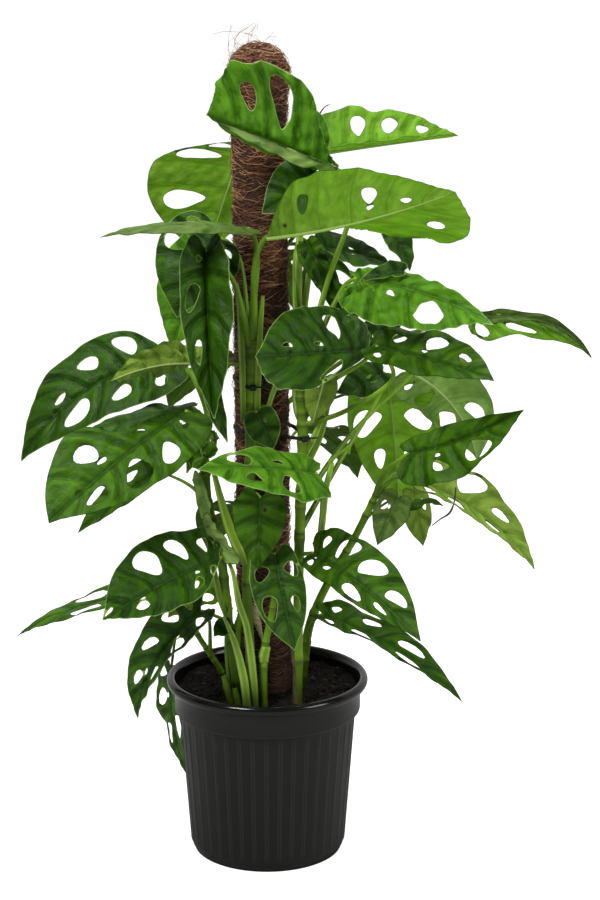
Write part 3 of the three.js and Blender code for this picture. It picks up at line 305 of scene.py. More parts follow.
TRIMMINGS: dict[str, Trimming] = {
    "aerial_root": Trimming(((-15, -37, 317), (-13, -38, 303), (-9, -38, 287), (-5, -36, 270)),
        (3.2, 4.6, 3.6, 1.0), "root"),
    "bare_shoot": Trimming(((30, -60, 283), (31, -61, 260), (33, -61, 236), (35, -60, 200)),
        (1.9, 2.1, 2.2, 2.4), "dry"),
    "stub_long": Trimming(((-39, -76, 199), (-42, -78, 212), (-46, -79, 228), (-49, -78, 241)),
        (4.6, 4.4, 4.4, 3.4), "shoot"),
    "stub_short": Trimming(((-33, -76, 199), (-34, -76, 208), (-36, -76, 217), (-37, -75, 225)),
        (4.6, 4.9, 4.6, 3.4), "shoot"),
    "pale_shoot": Trimming(((-35, -54, 262), (-35, -57, 276), (-33, -58, 298), (-24, -58, 324)),
        (2.4, 5.2, 4.6, 3.0), "shoot"),
    "spike": Trimming(((57, 30, 862), (59, 26, 875), (62, 22, 882), (67, 20, 889), (73, 20, 892)),
        (1.3, 1.2, 0.9, 0.7, 0.4), "dry"),
    "thread_left": Trimming(((31, -62, 846), (33, -63, 857), (32, -62, 868)), (0.8, 0.7, 0.4), "dry"),
    "thread_right": Trimming(((33, -64, 846), (41, -65, 856), (50, -64, 866)), (0.8, 0.8, 0.5), "dry"),
    "torn_tip": Trimming(((72, -66, 494), (81, -66, 503), (89, -67, 509), (94, -66, 512), (95, -66, 504)),
        (2.6, 2.2, 1.6, 2.4, 1.0), "shoot"),
    "tendril": Trimming(((217, -70, 466), (216, -64, 448), (211, -60, 433), (201, -54, 424),
        (192, -46, 414)), (0.9, 0.8, 1.3, 0.8, 0.7), "dry"),
    "spent_stalk": Trimming(((62, -52, 396), (65, -52, 424), (68, -52, 456), (76, -50, 490)),
        (3.4, 4.2, 4.0, 2.6), "stalk"),
    "stalk_long": Trimming(((-13, -84, 200), (-15, -85, 238), (-22, -85, 300), (-31, -84, 331),
        (-38, -82, 368), (-48, -78, 389)), (4.0, 4.6, 4.4, 3.8, 2.5, 1.8), "stalk"),
    "stalk_low": Trimming(((-22, -92, 200), (-26, -92, 241), (-34, -92, 279), (-42, -91, 302),
        (-49, -88, 317)), (4.8, 5.0, 4.4, 3.0, 1.6), "stalk"),
    "shoot_thin": Trimming(((-41, -66, 198), (-45, -68, 238), (-47, -70, 277), (-44, -70, 305),
        (-41, -69, 322)), (1.7, 1.9, 2.1, 2.4, 2.6), "shoot"),
    "sheath_left": Trimming(((-62, -62, 372), (-57, -63, 347), (-53, -63, 328), (-47, -62, 309)),
        (2.8, 3.8, 3.4, 2.4), "stalk"),
    "knob": Trimming(((-50, -58, 344), (-47, -60, 331), (-43, -58, 318)), (3.2, 6.2, 3.4), "shoot"),
    "bundle_right": Trimming(((-11, -54, 500), (-10, -54, 564), (-8, -53, 611), (-6, -51, 651),
        (-3, -49, 684)), (3.6, 4.2, 4.4, 3.6, 2.0), "stalk"),
    "bundle_left": Trimming(((-26, -54, 540), (-26, -53, 580), (-27, -52, 622), (-29, -50, 668),
        (-33, -47, 699)), (3.0, 3.8, 4.0, 3.4, 2.4), "stalk"),
    "ribbon_stalk": Trimming(((12, -52, 583), (5, -55, 564), (1, -56, 547), (0, -55, 529)),
        (3.4, 3.0, 2.2, 1.4), "stalk"),
    "sheath_right": Trimming(((35, -46, 580), (37, -48, 556), (41, -49, 539), (45, -47, 520)),
        (5.2, 6.4, 5.2, 3.4), "stalk"),
    "fork_a": Trimming(((38, -52, 488), (49, -53, 508), (60, -52, 533), (70, -48, 566)),
        (3.4, 3.9, 3.6, 2.6), "stalk"),
    "fork_b": Trimming(((44, -48, 482), (57, -47, 507), (66, -45, 532), (72, -42, 560)),
        (3.2, 3.6, 3.2, 2.4), "stalk"),
    "stem_dark": Trimming(((40, -26, 600), (41, -25, 634), (44, -24, 669), (49, -24, 707), (58, -22, 739)),
        (4.0, 4.3, 4.2, 3.8, 2.4), "stalk"),
    "stem_bright": Trimming(((37, -34, 580), (36, -31, 618), (36, -30, 676), (37, -30, 719),
        (40, -28, 764)), (5.6, 5.6, 5.4, 5.0, 3.0), "stalk"),
    "pale_stalk": Trimming(((-24, -64, 372), (-33, -71, 395), (-46, -73, 432), (-61, -68, 490)),
        (3.0, 6.0, 5.2, 2.4), "stalk"),
    "collar": Trimming(((-3, -74, 257), (-3, -74.5, 266), (0, -76, 277)), (5.4, 6.3, 5.2), "stalk"),
}

# How strongly some blades are creased, and how far their flesh rises between the side veins.
RUMPLED = {"right_bright": (3.4, 1.5), "left_curled": (5.4, 1.7), "crown_shield": (1.8, 2.2),
           "sheath_upper": (2.4, 1.0), "sheath_lower": (2.4, 1.0), "centre_cup": (1.6, 1.3),
           "shield_band": (2.0, 0.6), "bright_tongue": (2.4, 1.0), "left_crumple": (3.2, 1.4)}

VEIN_ROOTS = (0, 0.015, 0.05, 0.12, 0.25, 0.42, 0.61, 0.81, 1)  # where the side veins start
VEIN_BEND = (0.22, 0.55)  # how far a side vein's middle lies along and out
WAVES = (2.3, 1.1)  # how many waves run along a blade's edge, and how far its halves are apart in them
LANE_NET = (121, 31)  # how finely a half is laid out to look up its lanes, along and out
LANE_NEAREST = 4  # how many points of that net each look-up weighs
LANE_SOFTNESS = 0.05  # what is added to their distances in millimetres


@dataclass(frozen=True)
class Hole:
    """A hole between side veins: its middle and half length from midrib to edge, and half width."""

    middle: float
    length: float
    width: float


HOLES = {
    "s": Hole(0.3, 0.1, 0.15),
    "m": Hole(0.5, 0.19, 0.2),
    "l": Hole(0.52, 0.27, 0.25),
    "x": Hole(0.54, 0.33, 0.31),
    "o": Hole(0.7, 0.1, 0.2),
}
PINHOLE = Hole(0.2, 0.055, 0.1)


# ---------------------------------------------------------------------------- curves and meshes

def through(points: np.ndarray, x: np.ndarray | float) -> np.ndarray:
    """Follow the smooth curve through evenly spaced points.

    Args:
        points: The points, one a row.
        x: Where on the curve, from 0 to 1.

    Returns:
        One row for each x.
    """
    points = np.asarray(points, float)
    spans = len(points) - 1
    place = np.clip(np.asarray(x, float), 0, 1) * spans
    i = np.minimum(place.astype(int), spans - 1)
    f = (place - i)[..., None]
    a, b = points[np.maximum(i - 1, 0)], points[i]
    c, d = points[i + 1], points[np.minimum(i + 2, spans)]
    return 0.5 * (2 * b + (c - a) * f + (2 * a - 5 * b + 4 * c - d) * f ** 2
                  + (3 * b - a - 3 * c + d) * f ** 3)


def unit(vectors: np.ndarray) -> np.ndarray:
    """Return the vectors at length one."""
    vectors = np.asarray(vectors, float)
    return vectors / (np.linalg.norm(vectors, axis=-1, keepdims=True) + 1e-12)


def bell(offset: np.ndarray, reach: float) -> np.ndarray:
    """Return 1 at no offset, falling smoothly to a little over a third at reach."""
    return np.exp(-(offset / reach) ** 2)


def turns(count: int) -> np.ndarray:
    """Return evenly spaced angles round a full turn."""
    return np.linspace(0, 2 * math.pi, count, endpoint=False)


def closed(loop: np.ndarray) -> np.ndarray:
    """Return a loop with its first point again at its end."""
    return np.vstack([loop, loop[:1]])


def distance_to_lines(points: np.ndarray, lines: list[np.ndarray]) -> np.ndarray:
    """Measure how far flat points lie from the nearest of some polylines.

    Args:
        points: Flat points, one a row.
        lines: Polylines of flat points.

    Returns:
        One distance for each point.
    """
    if not lines:
        return np.full(len(points), NO_LINES)
    starts = np.vstack([line[:-1] for line in lines])
    spans = np.vstack([line[1:] for line in lines]) - starts
    offset = points[:, None, :] - starts[None]
    share = np.clip((offset * spans).sum(-1) / ((spans ** 2).sum(-1) + 1e-12), 0, 1)
    return np.linalg.norm(offset - share[..., None] * spans, axis=-1).min(1)


def inside(points: np.ndarray, loop: np.ndarray) -> np.ndarray:
    """Tell which flat points lie inside a closed loop.

    Args:
        points: Flat points, one a row.
        loop: The corners of the loop.

    Returns:
        True or False for each point.
    """
    x, y = points[:, 0, None], points[:, 1, None]
    ax, ay = loop[:, 0], loop[:, 1]
    bx, by = np.roll(ax, -1), np.roll(ay, -1)
    crosses = (ay > y) != (by > y)
    rise = np.where(by == ay, 1e-12, by - ay)
    return ((crosses & (x < (bx - ax) * (y - ay) / rise + ax)).sum(1) % 2).astype(bool)


@dataclass
class Shell:
    """Points and faces of a mesh in the making, with values for each point."""

    points: np.ndarray
    faces: list[tuple[int, ...]]
    values: dict[str, np.ndarray] = field(default_factory=dict)
    flat: np.ndarray | None = None

    @staticmethod
    def joined(shells: list["Shell"]) -> "Shell":
        """Put several shells into one, each staying closed by itself.

        Args:
            shells: The shells, which all carry the same values.

        Returns:
            One shell.
        """
        faces: list[tuple[int, ...]] = []
        count = 0
        for shell in shells:
            faces += [tuple(int(i) + count for i in face) for face in shell.faces]
            count += len(shell.points)
        names = shells[0].values
        return Shell(
            np.vstack([shell.points for shell in shells]), faces,
            {name: np.concatenate([shell.values[name] for shell in shells]) for name in names},
            np.vstack([shell.flat for shell in shells]) if shells[0].flat is not None else None)

    def to_object(self, name: str, material: Material,
                  sharp: float | None = None) -> Object:
        """Make a Blender object of the shell, with its place in its mesh.

        Args:
            name: The object's name.
            material: What it is made of.
            sharp: Edges that turn by more than this many degrees stay sharp.

        Returns:
            The new object.
        """
        mesh = bpy.data.meshes.new(name)
        mesh.from_pydata((self.points * MM).tolist(), [], self.faces)
        for key, values in self.values.items():
            layer = mesh.attributes.new(key, "FLOAT", "POINT")
            layer.data.foreach_set("value", np.asarray(values, np.float32))
        if self.flat is not None:
            corners = np.zeros(len(mesh.loops), np.int32)
            mesh.loops.foreach_get("vertex_index", corners)
            uv = mesh.uv_layers.new(name="UVMap")
            uv.data.foreach_set("uv", self.flat[corners].astype(np.float32).ravel())
        mesh.polygons.foreach_set("use_smooth", [True] * len(mesh.polygons))
        if sharp is not None:
            mesh.set_sharp_from_angle(angle=math.radians(sharp))
        mesh.materials.append(material)
        mesh.validate()
        return link(bpy.data.objects.new(name, mesh))


def link(piece: Object) -> Object:
    """Put an object into the scene and return it."""
    bpy.context.scene.collection.objects.link(piece)
    return piece


def settle(piece: Object, slot: str, *nodes: str) -> Object:
    """Let a finished piece ride on the plant, and stand for the solids that it dresses.

    Args:
        piece: The finished piece.
        slot: The record's material slot; not used.
        nodes: The solids that it stands for.

    Returns:
        The piece.
    """
    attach(piece, "root")
    if nodes:
        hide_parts(*nodes)
    LOG.info("%s: %d faces", piece.name, len(piece.data.polygons))
    return piece


def ring_faces(rings: int, sides: int) -> list[tuple[int, ...]]:
    """List the faces of a stack of rings that a point closes at each end.

    Args:
        rings: How many rings there are.
        sides: How many corners each ring has.

    Returns:
        The faces, for points in the order rings, first end, last end.
    """
    first, last, top = rings * sides, rings * sides + 1, (rings - 1) * sides
    faces = [(r * sides + j, r * sides + (j + 1) % sides, (r + 1) * sides + (j + 1) % sides,
              (r + 1) * sides + j) for r in range(rings - 1) for j in range(sides)]
    faces += [(first, (j + 1) % sides, j) for j in range(sides)]
    faces += [(last, top + j, top + (j + 1) % sides) for j in range(sides)]
    return faces


def on_rings(values: np.ndarray, sides: int) -> np.ndarray:
    """Give the value of each ring to its corners, and those of the end rings to the end points."""
    return np.concatenate([np.repeat(values, sides), values[[0, -1]]])


def lathe(profile: list[tuple[float, float]], sides: int) -> Shell:
    """Turn a closed profile of (radius, height) round the upright axis.

    Args:
        profile: The corners, from the axis outward and back to it.
        sides: How many corners each ring has.

    Returns:
        A closed shell, whose first and last points lie on the axis.
    """
    rings = np.array(profile[1:-1])
    angle = turns(sides)
    points = np.stack([rings[:, 0, None] * np.cos(angle), rings[:, 0, None] * np.sin(angle),
                       np.repeat(rings[:, 1, None], sides, 1)], -1).reshape(-1, 3)
    caps = np.array([(0, 0, profile[0][1]), (0, 0, profile[-1][1])])
    return Shell(np.vstack([points, caps]), ring_faces(len(rings), sides))


@dataclass(frozen=True)
class Channel:
    """The channel on a petiole's inner side: angles round it in radians, and its edges' rise."""

    reach: float = 0.42
    edge: float = 0.8
    edge_reach: float = 0.3
    edge_rise: float = 0.35
    tint_reach: float = 0.26
    full_tint: float = 3.0


def tube(path: np.ndarray, radii: np.ndarray, sides: int, hint: np.ndarray,
         groove: np.ndarray | None = None, channel: Channel = Channel()) -> Shell:
    """Lay a closed tube along a path.

    Args:
        path: The middle line, one point a row.
        radii: The radius at each point.
        sides: How many corners each ring has.
        hint: The way that the tube's inner side looks at its start.
        groove: How deep the inner side is channelled at each point, as a share of the radius.
        channel: The channel's form.

    Returns:
        A closed shell with the value rim, which is up to 1 on the edges of the channel.
    """
    tangents = unit(np.gradient(path, axis=0))
    angle = turns(sides)
    turned = np.minimum(angle, 2 * math.pi - angle)
    groove = np.zeros(len(path)) if groove is None else groove
    side = np.asarray(hint, float)
    rings = []
    for point, tangent, radius, depth in zip(path, tangents, radii, groove):
        side = unit(side - tangent * (side @ tangent))
        other = np.cross(tangent, side)
        reach = radius * (1 - depth * bell(turned, channel.reach)
                          + channel.edge_rise * depth * bell(turned - channel.edge, channel.edge_reach))
        rings.append(point + np.cos(angle)[:, None] * side * reach[:, None]
                     + np.sin(angle)[:, None] * other * reach[:, None])
    tint = np.minimum(groove * channel.full_tint, 1)
    rim = bell(turned - channel.edge, channel.tint_reach)[None, :] * tint[:, None]
    return Shell(np.vstack([*rings, path[:1], path[-1:]]), ring_faces(len(path), sides),
                 {"rim": np.concatenate([rim.ravel(), [0, 0]])})


# ---------------------------------------------------------------------------- blades

class BladeForm:
    """The form of one blade: its flat outline, and where each flat point lies in space."""

    def __init__(self, name: str, blade: Blade) -> None:
        """Take the blade's row.

        Args:
            name: The blade's name in the table.
            blade: Its row.
        """
        self.blade = blade
        self.rumple = RUMPLED.get(name, (1.0, 1.0))
        self.base, self.tip = np.array(blade.base, float), np.array(blade.tip, float)
        self.control = (self.base + self.tip) / 2 + np.array(blade.bow, float)
        self.length = float(np.linalg.norm(self.tip - self.base))
        self.phase = len(name)
        self.random = np.random.default_rng(zlib.crc32(name.encode()))
        self.rank = float(self.random.uniform(0, 60))

    def half(self, side: int) -> Half:
        """Return the right half for side 1, and the left half for side -1."""
        return self.blade.right if side > 0 else self.blade.left

    def midrib(self, s: np.ndarray) -> tuple[np.ndarray, np.ndarray]:
        """Find the midrib at shares s of its length.

        Args:
            s: Shares of the length, a little below 0 for the lobes.

        Returns:
            Where the midrib is, and the way that it runs there.
        """
        x = np.clip(s, 0, 1)[:, None]
        along = unit(2 * (1 - x) * (self.control - self.base) + 2 * x * (self.tip - self.control))
        place = (1 - x) ** 2 * self.base + 2 * x * (1 - x) * self.control + x * x * self.tip
        return place + np.minimum(s, 0)[:, None] * 2 * (self.control - self.base), along

    def flat(self, side: int, u: np.ndarray, v: np.ndarray) -> np.ndarray:
        """Lay out a point of one half: u runs from base to tip, v from midrib to edge.

        Args:
            side: 1 for the right half, -1 for the left.
            u: From 0 at the base round the edge to 1 at the tip.
            v: From 0 at the midrib to 1 at the edge.

        Returns:
            Flat points in millimetres, the midrib lying along the first axis.
        """
        half = self.half(side)
        u, v = np.broadcast_arrays(np.asarray(u, float), np.asarray(v, float))
        edge = through(np.array(half.outline.value), u)
        edge_s = np.where(edge[:, 0] > 0, np.abs(edge[:, 0]) ** half.belly, edge[:, 0] * half.lobe)
        root = np.abs(through(np.array(VEIN_ROOTS)[:, None], u)[:, 0]) ** half.belly
        bend = root + VEIN_BEND[0] * (edge_s - root)
        s = (1 - v) ** 2 * root + 2 * v * (1 - v) * bend + v * v * edge_s
        t = (2 * v * (1 - v) * VEIN_BEND[1] + v * v) * edge[:, 1]
        return np.stack([s * self.length, side * t * half.width], 1)

    def lanes(self, flat: np.ndarray) -> tuple[np.ndarray, np.ndarray]:
        """Tell where flat points lie between the side veins.

        Args:
            flat: Flat points in millimetres.

        Returns:
            The count of side veins up to each point, and how far out it lies in millimetres.
        """
        lane, reach = np.zeros(len(flat)), np.abs(flat[:, 1])
        for side in (-1, 1):
            u, v = np.meshgrid(*(np.linspace(0, 1, count) for count in LANE_NET))
            net = self.flat(side, u.ravel(), v.ravel())
            tree = KDTree(len(net))
            for index, spot in enumerate(net):
                tree.insert((*spot, 0.0), index)
            tree.balance()
            spaces = len(self.half(side).holes)
            for index in np.flatnonzero(flat[:, 1] * side >= 0):
                near = tree.find_n((*flat[index], 0.0), LANE_NEAREST)
                weight = np.array([1 / (found[2] + LANE_SOFTNESS) for found in near])
                shares = u.ravel()[[found[1] for found in near]]
                lane[index] = spaces * float(weight @ shares / weight.sum())
        return lane, reach

    def axes(self, s: np.ndarray) -> tuple[np.ndarray, np.ndarray, np.ndarray]:
        """Find the midrib at shares of its length, and the ways up and out from it.

        Args:
            s: Shares of the length.

        Returns:
            The places, the ways up from the blade, and the ways out into its right half.
        """
        place, along = self.midrib(s)
        face = unit(np.array(self.blade.face, float))
        up = unit(face - along * (along @ face)[:, None])
        return place, up, np.cross(along, up)

    @staticmethod
    def folds(half: Half, s: np.ndarray) -> np.ndarray:
        """Tell how far a half is folded at shares of the length, in radians."""
        return np.radians(half.fold[0] + (half.fold[1] - half.fold[0]) * np.clip(s, 0, 1))

    def place(self, flat: np.ndarray) -> np.ndarray:
        """Bend flat points into space: fold, curl and wave each half.

        Args:
            flat: Flat points in millimetres.

        Returns:
            The same points in space.
        """
        s = flat[:, 0] / self.length
        result, up, out = self.axes(s)
        for side in (-1, 1):
            half = self.half(side)
            mine = (flat[:, 1] > 0) if side > 0 else (flat[:, 1] < 0)
            t = np.abs(flat[:, 1]) / half.width
            fold, curl = self.folds(half, s), math.radians(half.curl)
            reach = half.width / curl * (np.sin(fold + curl * t) - np.sin(fold))
            rise = -half.width / curl * (np.cos(fold + curl * t) - np.cos(fold))
            rise += self.blade.wave * t * t * np.sin(
                2 * math.pi * WAVES[0] * s + side * WAVES[1] + self.phase)
            moved = out * (side * reach)[:, None] + up * rise[:, None]
            result[mine] += moved[mine]
        return result


@dataclass
class LeafBuilder:
    """Makes a blade as one closed sheet, with its midrib as a cord along the underside.

    Spacing, thickness, quilt, groove, wrinkle, rib_flat, the vein's ridge and width and the reaches are
    in millimetres, but for crest_reach, which is a share of the space between side veins. Each pair in
    creases is how many of them there are to such a space, and how many millimetres apart they are
    across the blade. Ripple, the shares, rib_end, rib_taper and the numbers for holes are factors.
    """

    spacing: float = 3.1
    thickness: float = 0.5
    quilt: float = 2.8
    rib_flat: float = 4.5
    vein_reach: float = 6.5
    edge_reach: float = 6.0
    crest_share: float = 0.35
    crest_reach: float = 0.09
    groove: float = 1.4
    groove_reach: float = 2.6
    vein_ridge: float = 0.3
    vein_width: float = 2.2
    ripple: float = 2.4
    wrinkle: float = 0.45
    creases: tuple[tuple[float, float], ...] = ((1.7, 31), (2.6, -47), (0.9, 19))
    pin_share: float = 0.3
    hole_corners: float = 4.6
    hole_stretch: float = 0.12
    hole_shift: tuple[float, float] = (0.05, 0.03)
    hole_drop: float = 0.35
    hole_lean: float = 0.06
    rib_steps: int = 26
    rib_sides: int = 8
    rib_end: float = 0.96
    rib_taper: float = 0.22

    def build(self, name: str, blade: Blade, material: Material) -> Object:
        """Make one leaf blade and dress it.

        Args:
            name: The blade's name in the table.
            blade: Its row.
            material: The finish of its tone.

        Returns:
            The finished piece.
        """
        form = BladeForm(name, blade)
        shell = Shell.joined([self.sheet(form), self.rib(form)])
        piece = shell.to_object(f"blade_{name}", material, sharp=50)
        return settle(piece, "leaf", *([f"leaf_{name}"] if name in BLADES else []))

    def outline(self, form: BladeForm) -> np.ndarray:
        """Lay the whole edge of a blade flat, once round from the petiole.

        Args:
            form: The blade's form.

        Returns:
            A closed loop of flat points.
        """
        inner = np.linspace(0, 1, 8)[:-1]
        round_edge = np.linspace(0, 1, max(28, int(1.5 * form.length / self.spacing)))
        right = [form.flat(1, np.zeros(7), inner), form.flat(1, round_edge, np.ones(1))]
        left = [form.flat(-1, round_edge[::-1][1:], np.ones(1)),
                form.flat(-1, np.zeros(7), inner)[::-1][:-1]]
        return np.vstack(right + left)

    def veins(self, form: BladeForm, side: int) -> list[np.ndarray]:
        """Lay the side veins of one half flat.

        Args:
            form: The blade's form.
            side: Which half.

        Returns:
            One polyline for each vein, from the midrib to the edge.
        """
        count = len(form.half(side).holes)
        v = np.linspace(0, 1, 12)
        return [form.flat(side, np.full(12, k / count), v) for k in range(1, count)]

    def holes(self, form: BladeForm, side: int) -> list[np.ndarray]:
        """Lay the holes of one half flat: drops that are broad towards the edge.

        Args:
            form: The blade's form.
            side: Which half.

        Returns:
            One closed loop for each hole.
        """
        letters = form.half(side).holes
        count = len(letters)
        loops = []
        for k, letter in enumerate(letters):
            shapes = [HOLES[letter]] if letter != "-" else []
            room = 0 < k < count - 1 and letter in "-msl"
            if room and form.random.random() < self.pin_share:
                shapes.append(PINHOLE)
            for hole in shapes:
                shift, stretch, lean = form.random.uniform(-1, 1, 3)
                size = 1 + self.hole_stretch * stretch
                phi = turns(max(10, int(hole.length * form.half(side).width * self.hole_corners
                                        / self.spacing)))
                v = hole.middle + self.hole_shift[1] * shift + hole.length * size * np.sin(phi)
                u = (k + 0.5 + self.hole_shift[0] * shift) / count + hole.width / count * np.cos(phi) * (
                    1 + self.hole_drop * np.sin(phi)) + self.hole_lean / count * lean * np.sin(phi)
                loops.append(form.flat(side, u, v))
        return loops

    def sheet(self, form: BladeForm) -> Shell:
        """Make the blade itself: both faces and its edges.

        Args:
            form: The blade's form.

        Returns:
            A closed shell with the values rib, vein, edge, reach (all mm), lane, rank and under (0 or 1).
        """
        edge = self.outline(form)
        veins = [line for side in (-1, 1) for line in self.veins(form, side)]
        holes = [loop for side in (-1, 1) for loop in self.holes(form, side)]
        rib_count = int(form.length / self.spacing)
        rib = np.stack([np.linspace(0, form.length, rib_count), np.zeros(rib_count)], 1)
        loops = [closed(loop) for loop in [edge, *holes]]
        kept_veins = [self.clear_of(line, holes) for line in veins]
        lines = [*loops, rib, *[line for parts in kept_veins for line in parts]]
        grid = self.grid(edge, holes, lines)
        points = [tuple(p) for line in lines for p in line] + [tuple(p) for p in grid]
        links, start = [], 0
        for line in lines:
            links += [(start + i, start + i + 1) for i in range(len(line) - 1)]
            start += len(line)
        spots, _, triangles, *_ = delaunay_2d_cdt([Vector(p) for p in points], links, [], 0, 1e-4)
        flat = np.array([tuple(p) for p in spots])
        cells = np.array(triangles)
        middles = flat[cells].mean(1)
        keep = inside(middles, edge)
        for hole in holes:
            keep &= ~inside(middles, hole)
        cells = cells[keep][:, ::-1]
        used, cells = np.unique(cells, return_inverse=True)
        flat, cells = flat[used], cells.reshape(-1, 3)
        return self.thicken(form, flat, cells, loops, rib, veins)

    def clear_of(self, line: np.ndarray, holes: list[np.ndarray]) -> list[np.ndarray]:
        """Keep the stretches of a vein that stay away from holes.

        Args:
            line: The vein.
            holes: The loops of the blade's holes.

        Returns:
            The stretches that are left.
        """
        if not holes:
            return [line]
        clear = distance_to_lines(line, [closed(loop) for loop in holes]) > 0.35 * self.spacing
        for hole in holes:
            clear &= ~inside(line, hole)
        parts = np.split(np.arange(len(line)), np.flatnonzero(np.diff(clear.astype(int))) + 1)
        return [line[part] for part in parts if clear[part[0]] and len(part) > 1]

    def grid(self, edge: np.ndarray, holes: list[np.ndarray],
             lines: list[np.ndarray]) -> np.ndarray:
        """Scatter an even net of points over the blade, away from its lines.

        Args:
            edge: The blade's edge.
            holes: The loops of its holes.
            lines: Every line that the net keeps away from.

        Returns:
            Flat points.
        """
        low, high = edge.min(0), edge.max(0)
        x, y = np.meshgrid(np.arange(low[0], high[0], self.spacing),
                           np.arange(low[1], high[1], self.spacing * 0.87))
        x[1::2] += self.spacing / 2
        net = np.stack([x.ravel(), y.ravel()], 1)
        net = net[inside(net, edge)]
        for hole in holes:
            net = net[~inside(net, hole)]
        return net[distance_to_lines(net, lines) > 0.5 * self.spacing]

    def thicken(self, form: BladeForm, flat: np.ndarray, cells: np.ndarray,
                loops: list[np.ndarray], rib: np.ndarray, veins: list[np.ndarray]) -> Shell:
        """Give the sheet its relief and its two faces.

        Args:
            form: The blade's form.
            flat: The flat points.
            cells: Triangles that face the upper side.
            loops: The edge and the holes, closed.
            rib: The midrib.
            veins: The side veins.

        Returns:
            The closed shell.
        """
        to_rib, to_vein = distance_to_lines(flat, [rib]), distance_to_lines(flat, veins)
        to_edge = distance_to_lines(flat, loops)
        lane, reach = form.lanes(flat)
        place = form.place(flat)
        across = np.cross(place[cells[:, 1]] - place[cells[:, 0]], place[cells[:, 2]] - place[cells[:, 0]])
        normals = np.zeros_like(place)
        for corner in range(3):
            np.add.at(normals, cells[:, corner], across)
        normals = unit(normals)
        off_rib = 1 - bell(to_rib, self.rib_flat)
        wrinkle, quilt = self.wrinkle * form.rumple[0], self.quilt * form.rumple[1]
        pillow = quilt * (1 - bell(to_vein, self.vein_reach)) * (1 - np.exp(-to_edge / self.edge_reach))
        half_way = self.crest_share * self.quilt * bell(lane % 1 - 0.5, self.crest_reach)
        trough = self.groove * bell(to_rib, self.groove_reach)
        outer = np.abs(flat[:, 1]) / max(form.blade.left.width, form.blade.right.width)
        phase = form.random.uniform(0, 6.28, 2)
        swell = np.sin(2 * math.pi * lane + phase[0]) + 0.8 * np.sin(
            0.9 * math.pi * lane + phase[1] + np.sign(flat[:, 1]))
        creases = sum(np.sin(2 * math.pi * (often * lane + flat[:, 1] / length) + start)
                      for (often, length), start in zip(self.creases, (*phase, phase.sum())))
        lift = off_rib * (pillow - half_way * np.minimum(to_edge / self.edge_reach, 1) + wrinkle * creases)
        lift += 0.5 * form.blade.wave * self.ripple * outer ** 2 * swell - trough
        top = place + normals * lift[:, None]
        ridge = self.vein_ridge * np.maximum(0, 1 - to_vein / self.vein_width)
        bottom = top - normals * (self.thickness + ridge)[:, None]
        count = len(flat)
        faces = [tuple(c) for c in cells] + [(c[2] + count, c[1] + count, c[0] + count) for c in cells]
        sides = {(int(a), int(b)) for c in cells for a, b in zip(c, np.roll(c, -1))}
        faces += [(b, a, a + count, b + count) for a, b in sides if (b, a) not in sides]
        twice = {"rib": to_rib, "vein": to_vein, "edge": to_edge, "lane": lane, "reach": reach}
        values = {key: np.concatenate([value, value]) for key, value in twice.items()}
        values["under"] = np.repeat([0.0, 1.0], count)
        values["rank"] = np.full(2 * count, form.rank)
        return Shell(np.vstack([top, bottom]), faces, values, np.vstack([flat, flat]) / 100)

    def rib(self, form: BladeForm) -> Shell:
        """Make the midrib that stands out under the blade.

        Args:
            form: The blade's form.

        Returns:
            A closed shell with the same values as the sheet.
        """
        steps = np.linspace(-1.5, self.rib_end * form.length, self.rib_steps)
        flat = np.stack([steps, np.zeros(self.rib_steps)], 1)
        path, up, out = form.axes(steps / form.length)
        left, right = (form.folds(half, flat[:, :1] / form.length)
                       for half in (form.blade.left, form.blade.right))
        up = unit(up * (np.cos(left) + np.cos(right)) + out * (np.sin(left) - np.sin(right)))
        thick = (0.42 * form.blade.stalk.radius + 0.5) * np.linspace(1, self.rib_taper, self.rib_steps)
        shell = tube(path - up * (thick + self.groove + 0.2)[:, None], thick, self.rib_sides, up[0])
        none, far = np.zeros(len(shell.points)), np.full(len(shell.points), 9.0)
        shell.values = {"rib": none, "vein": far, "edge": far, "lane": none, "reach": far,
                        "under": none + 1, "rank": none}
        shell.flat = np.concatenate([np.repeat(flat, self.rib_sides, axis=0), flat[[0, -1]]]) / 100
        return shell


# ---------------------------------------------------------------------------- stems and petioles

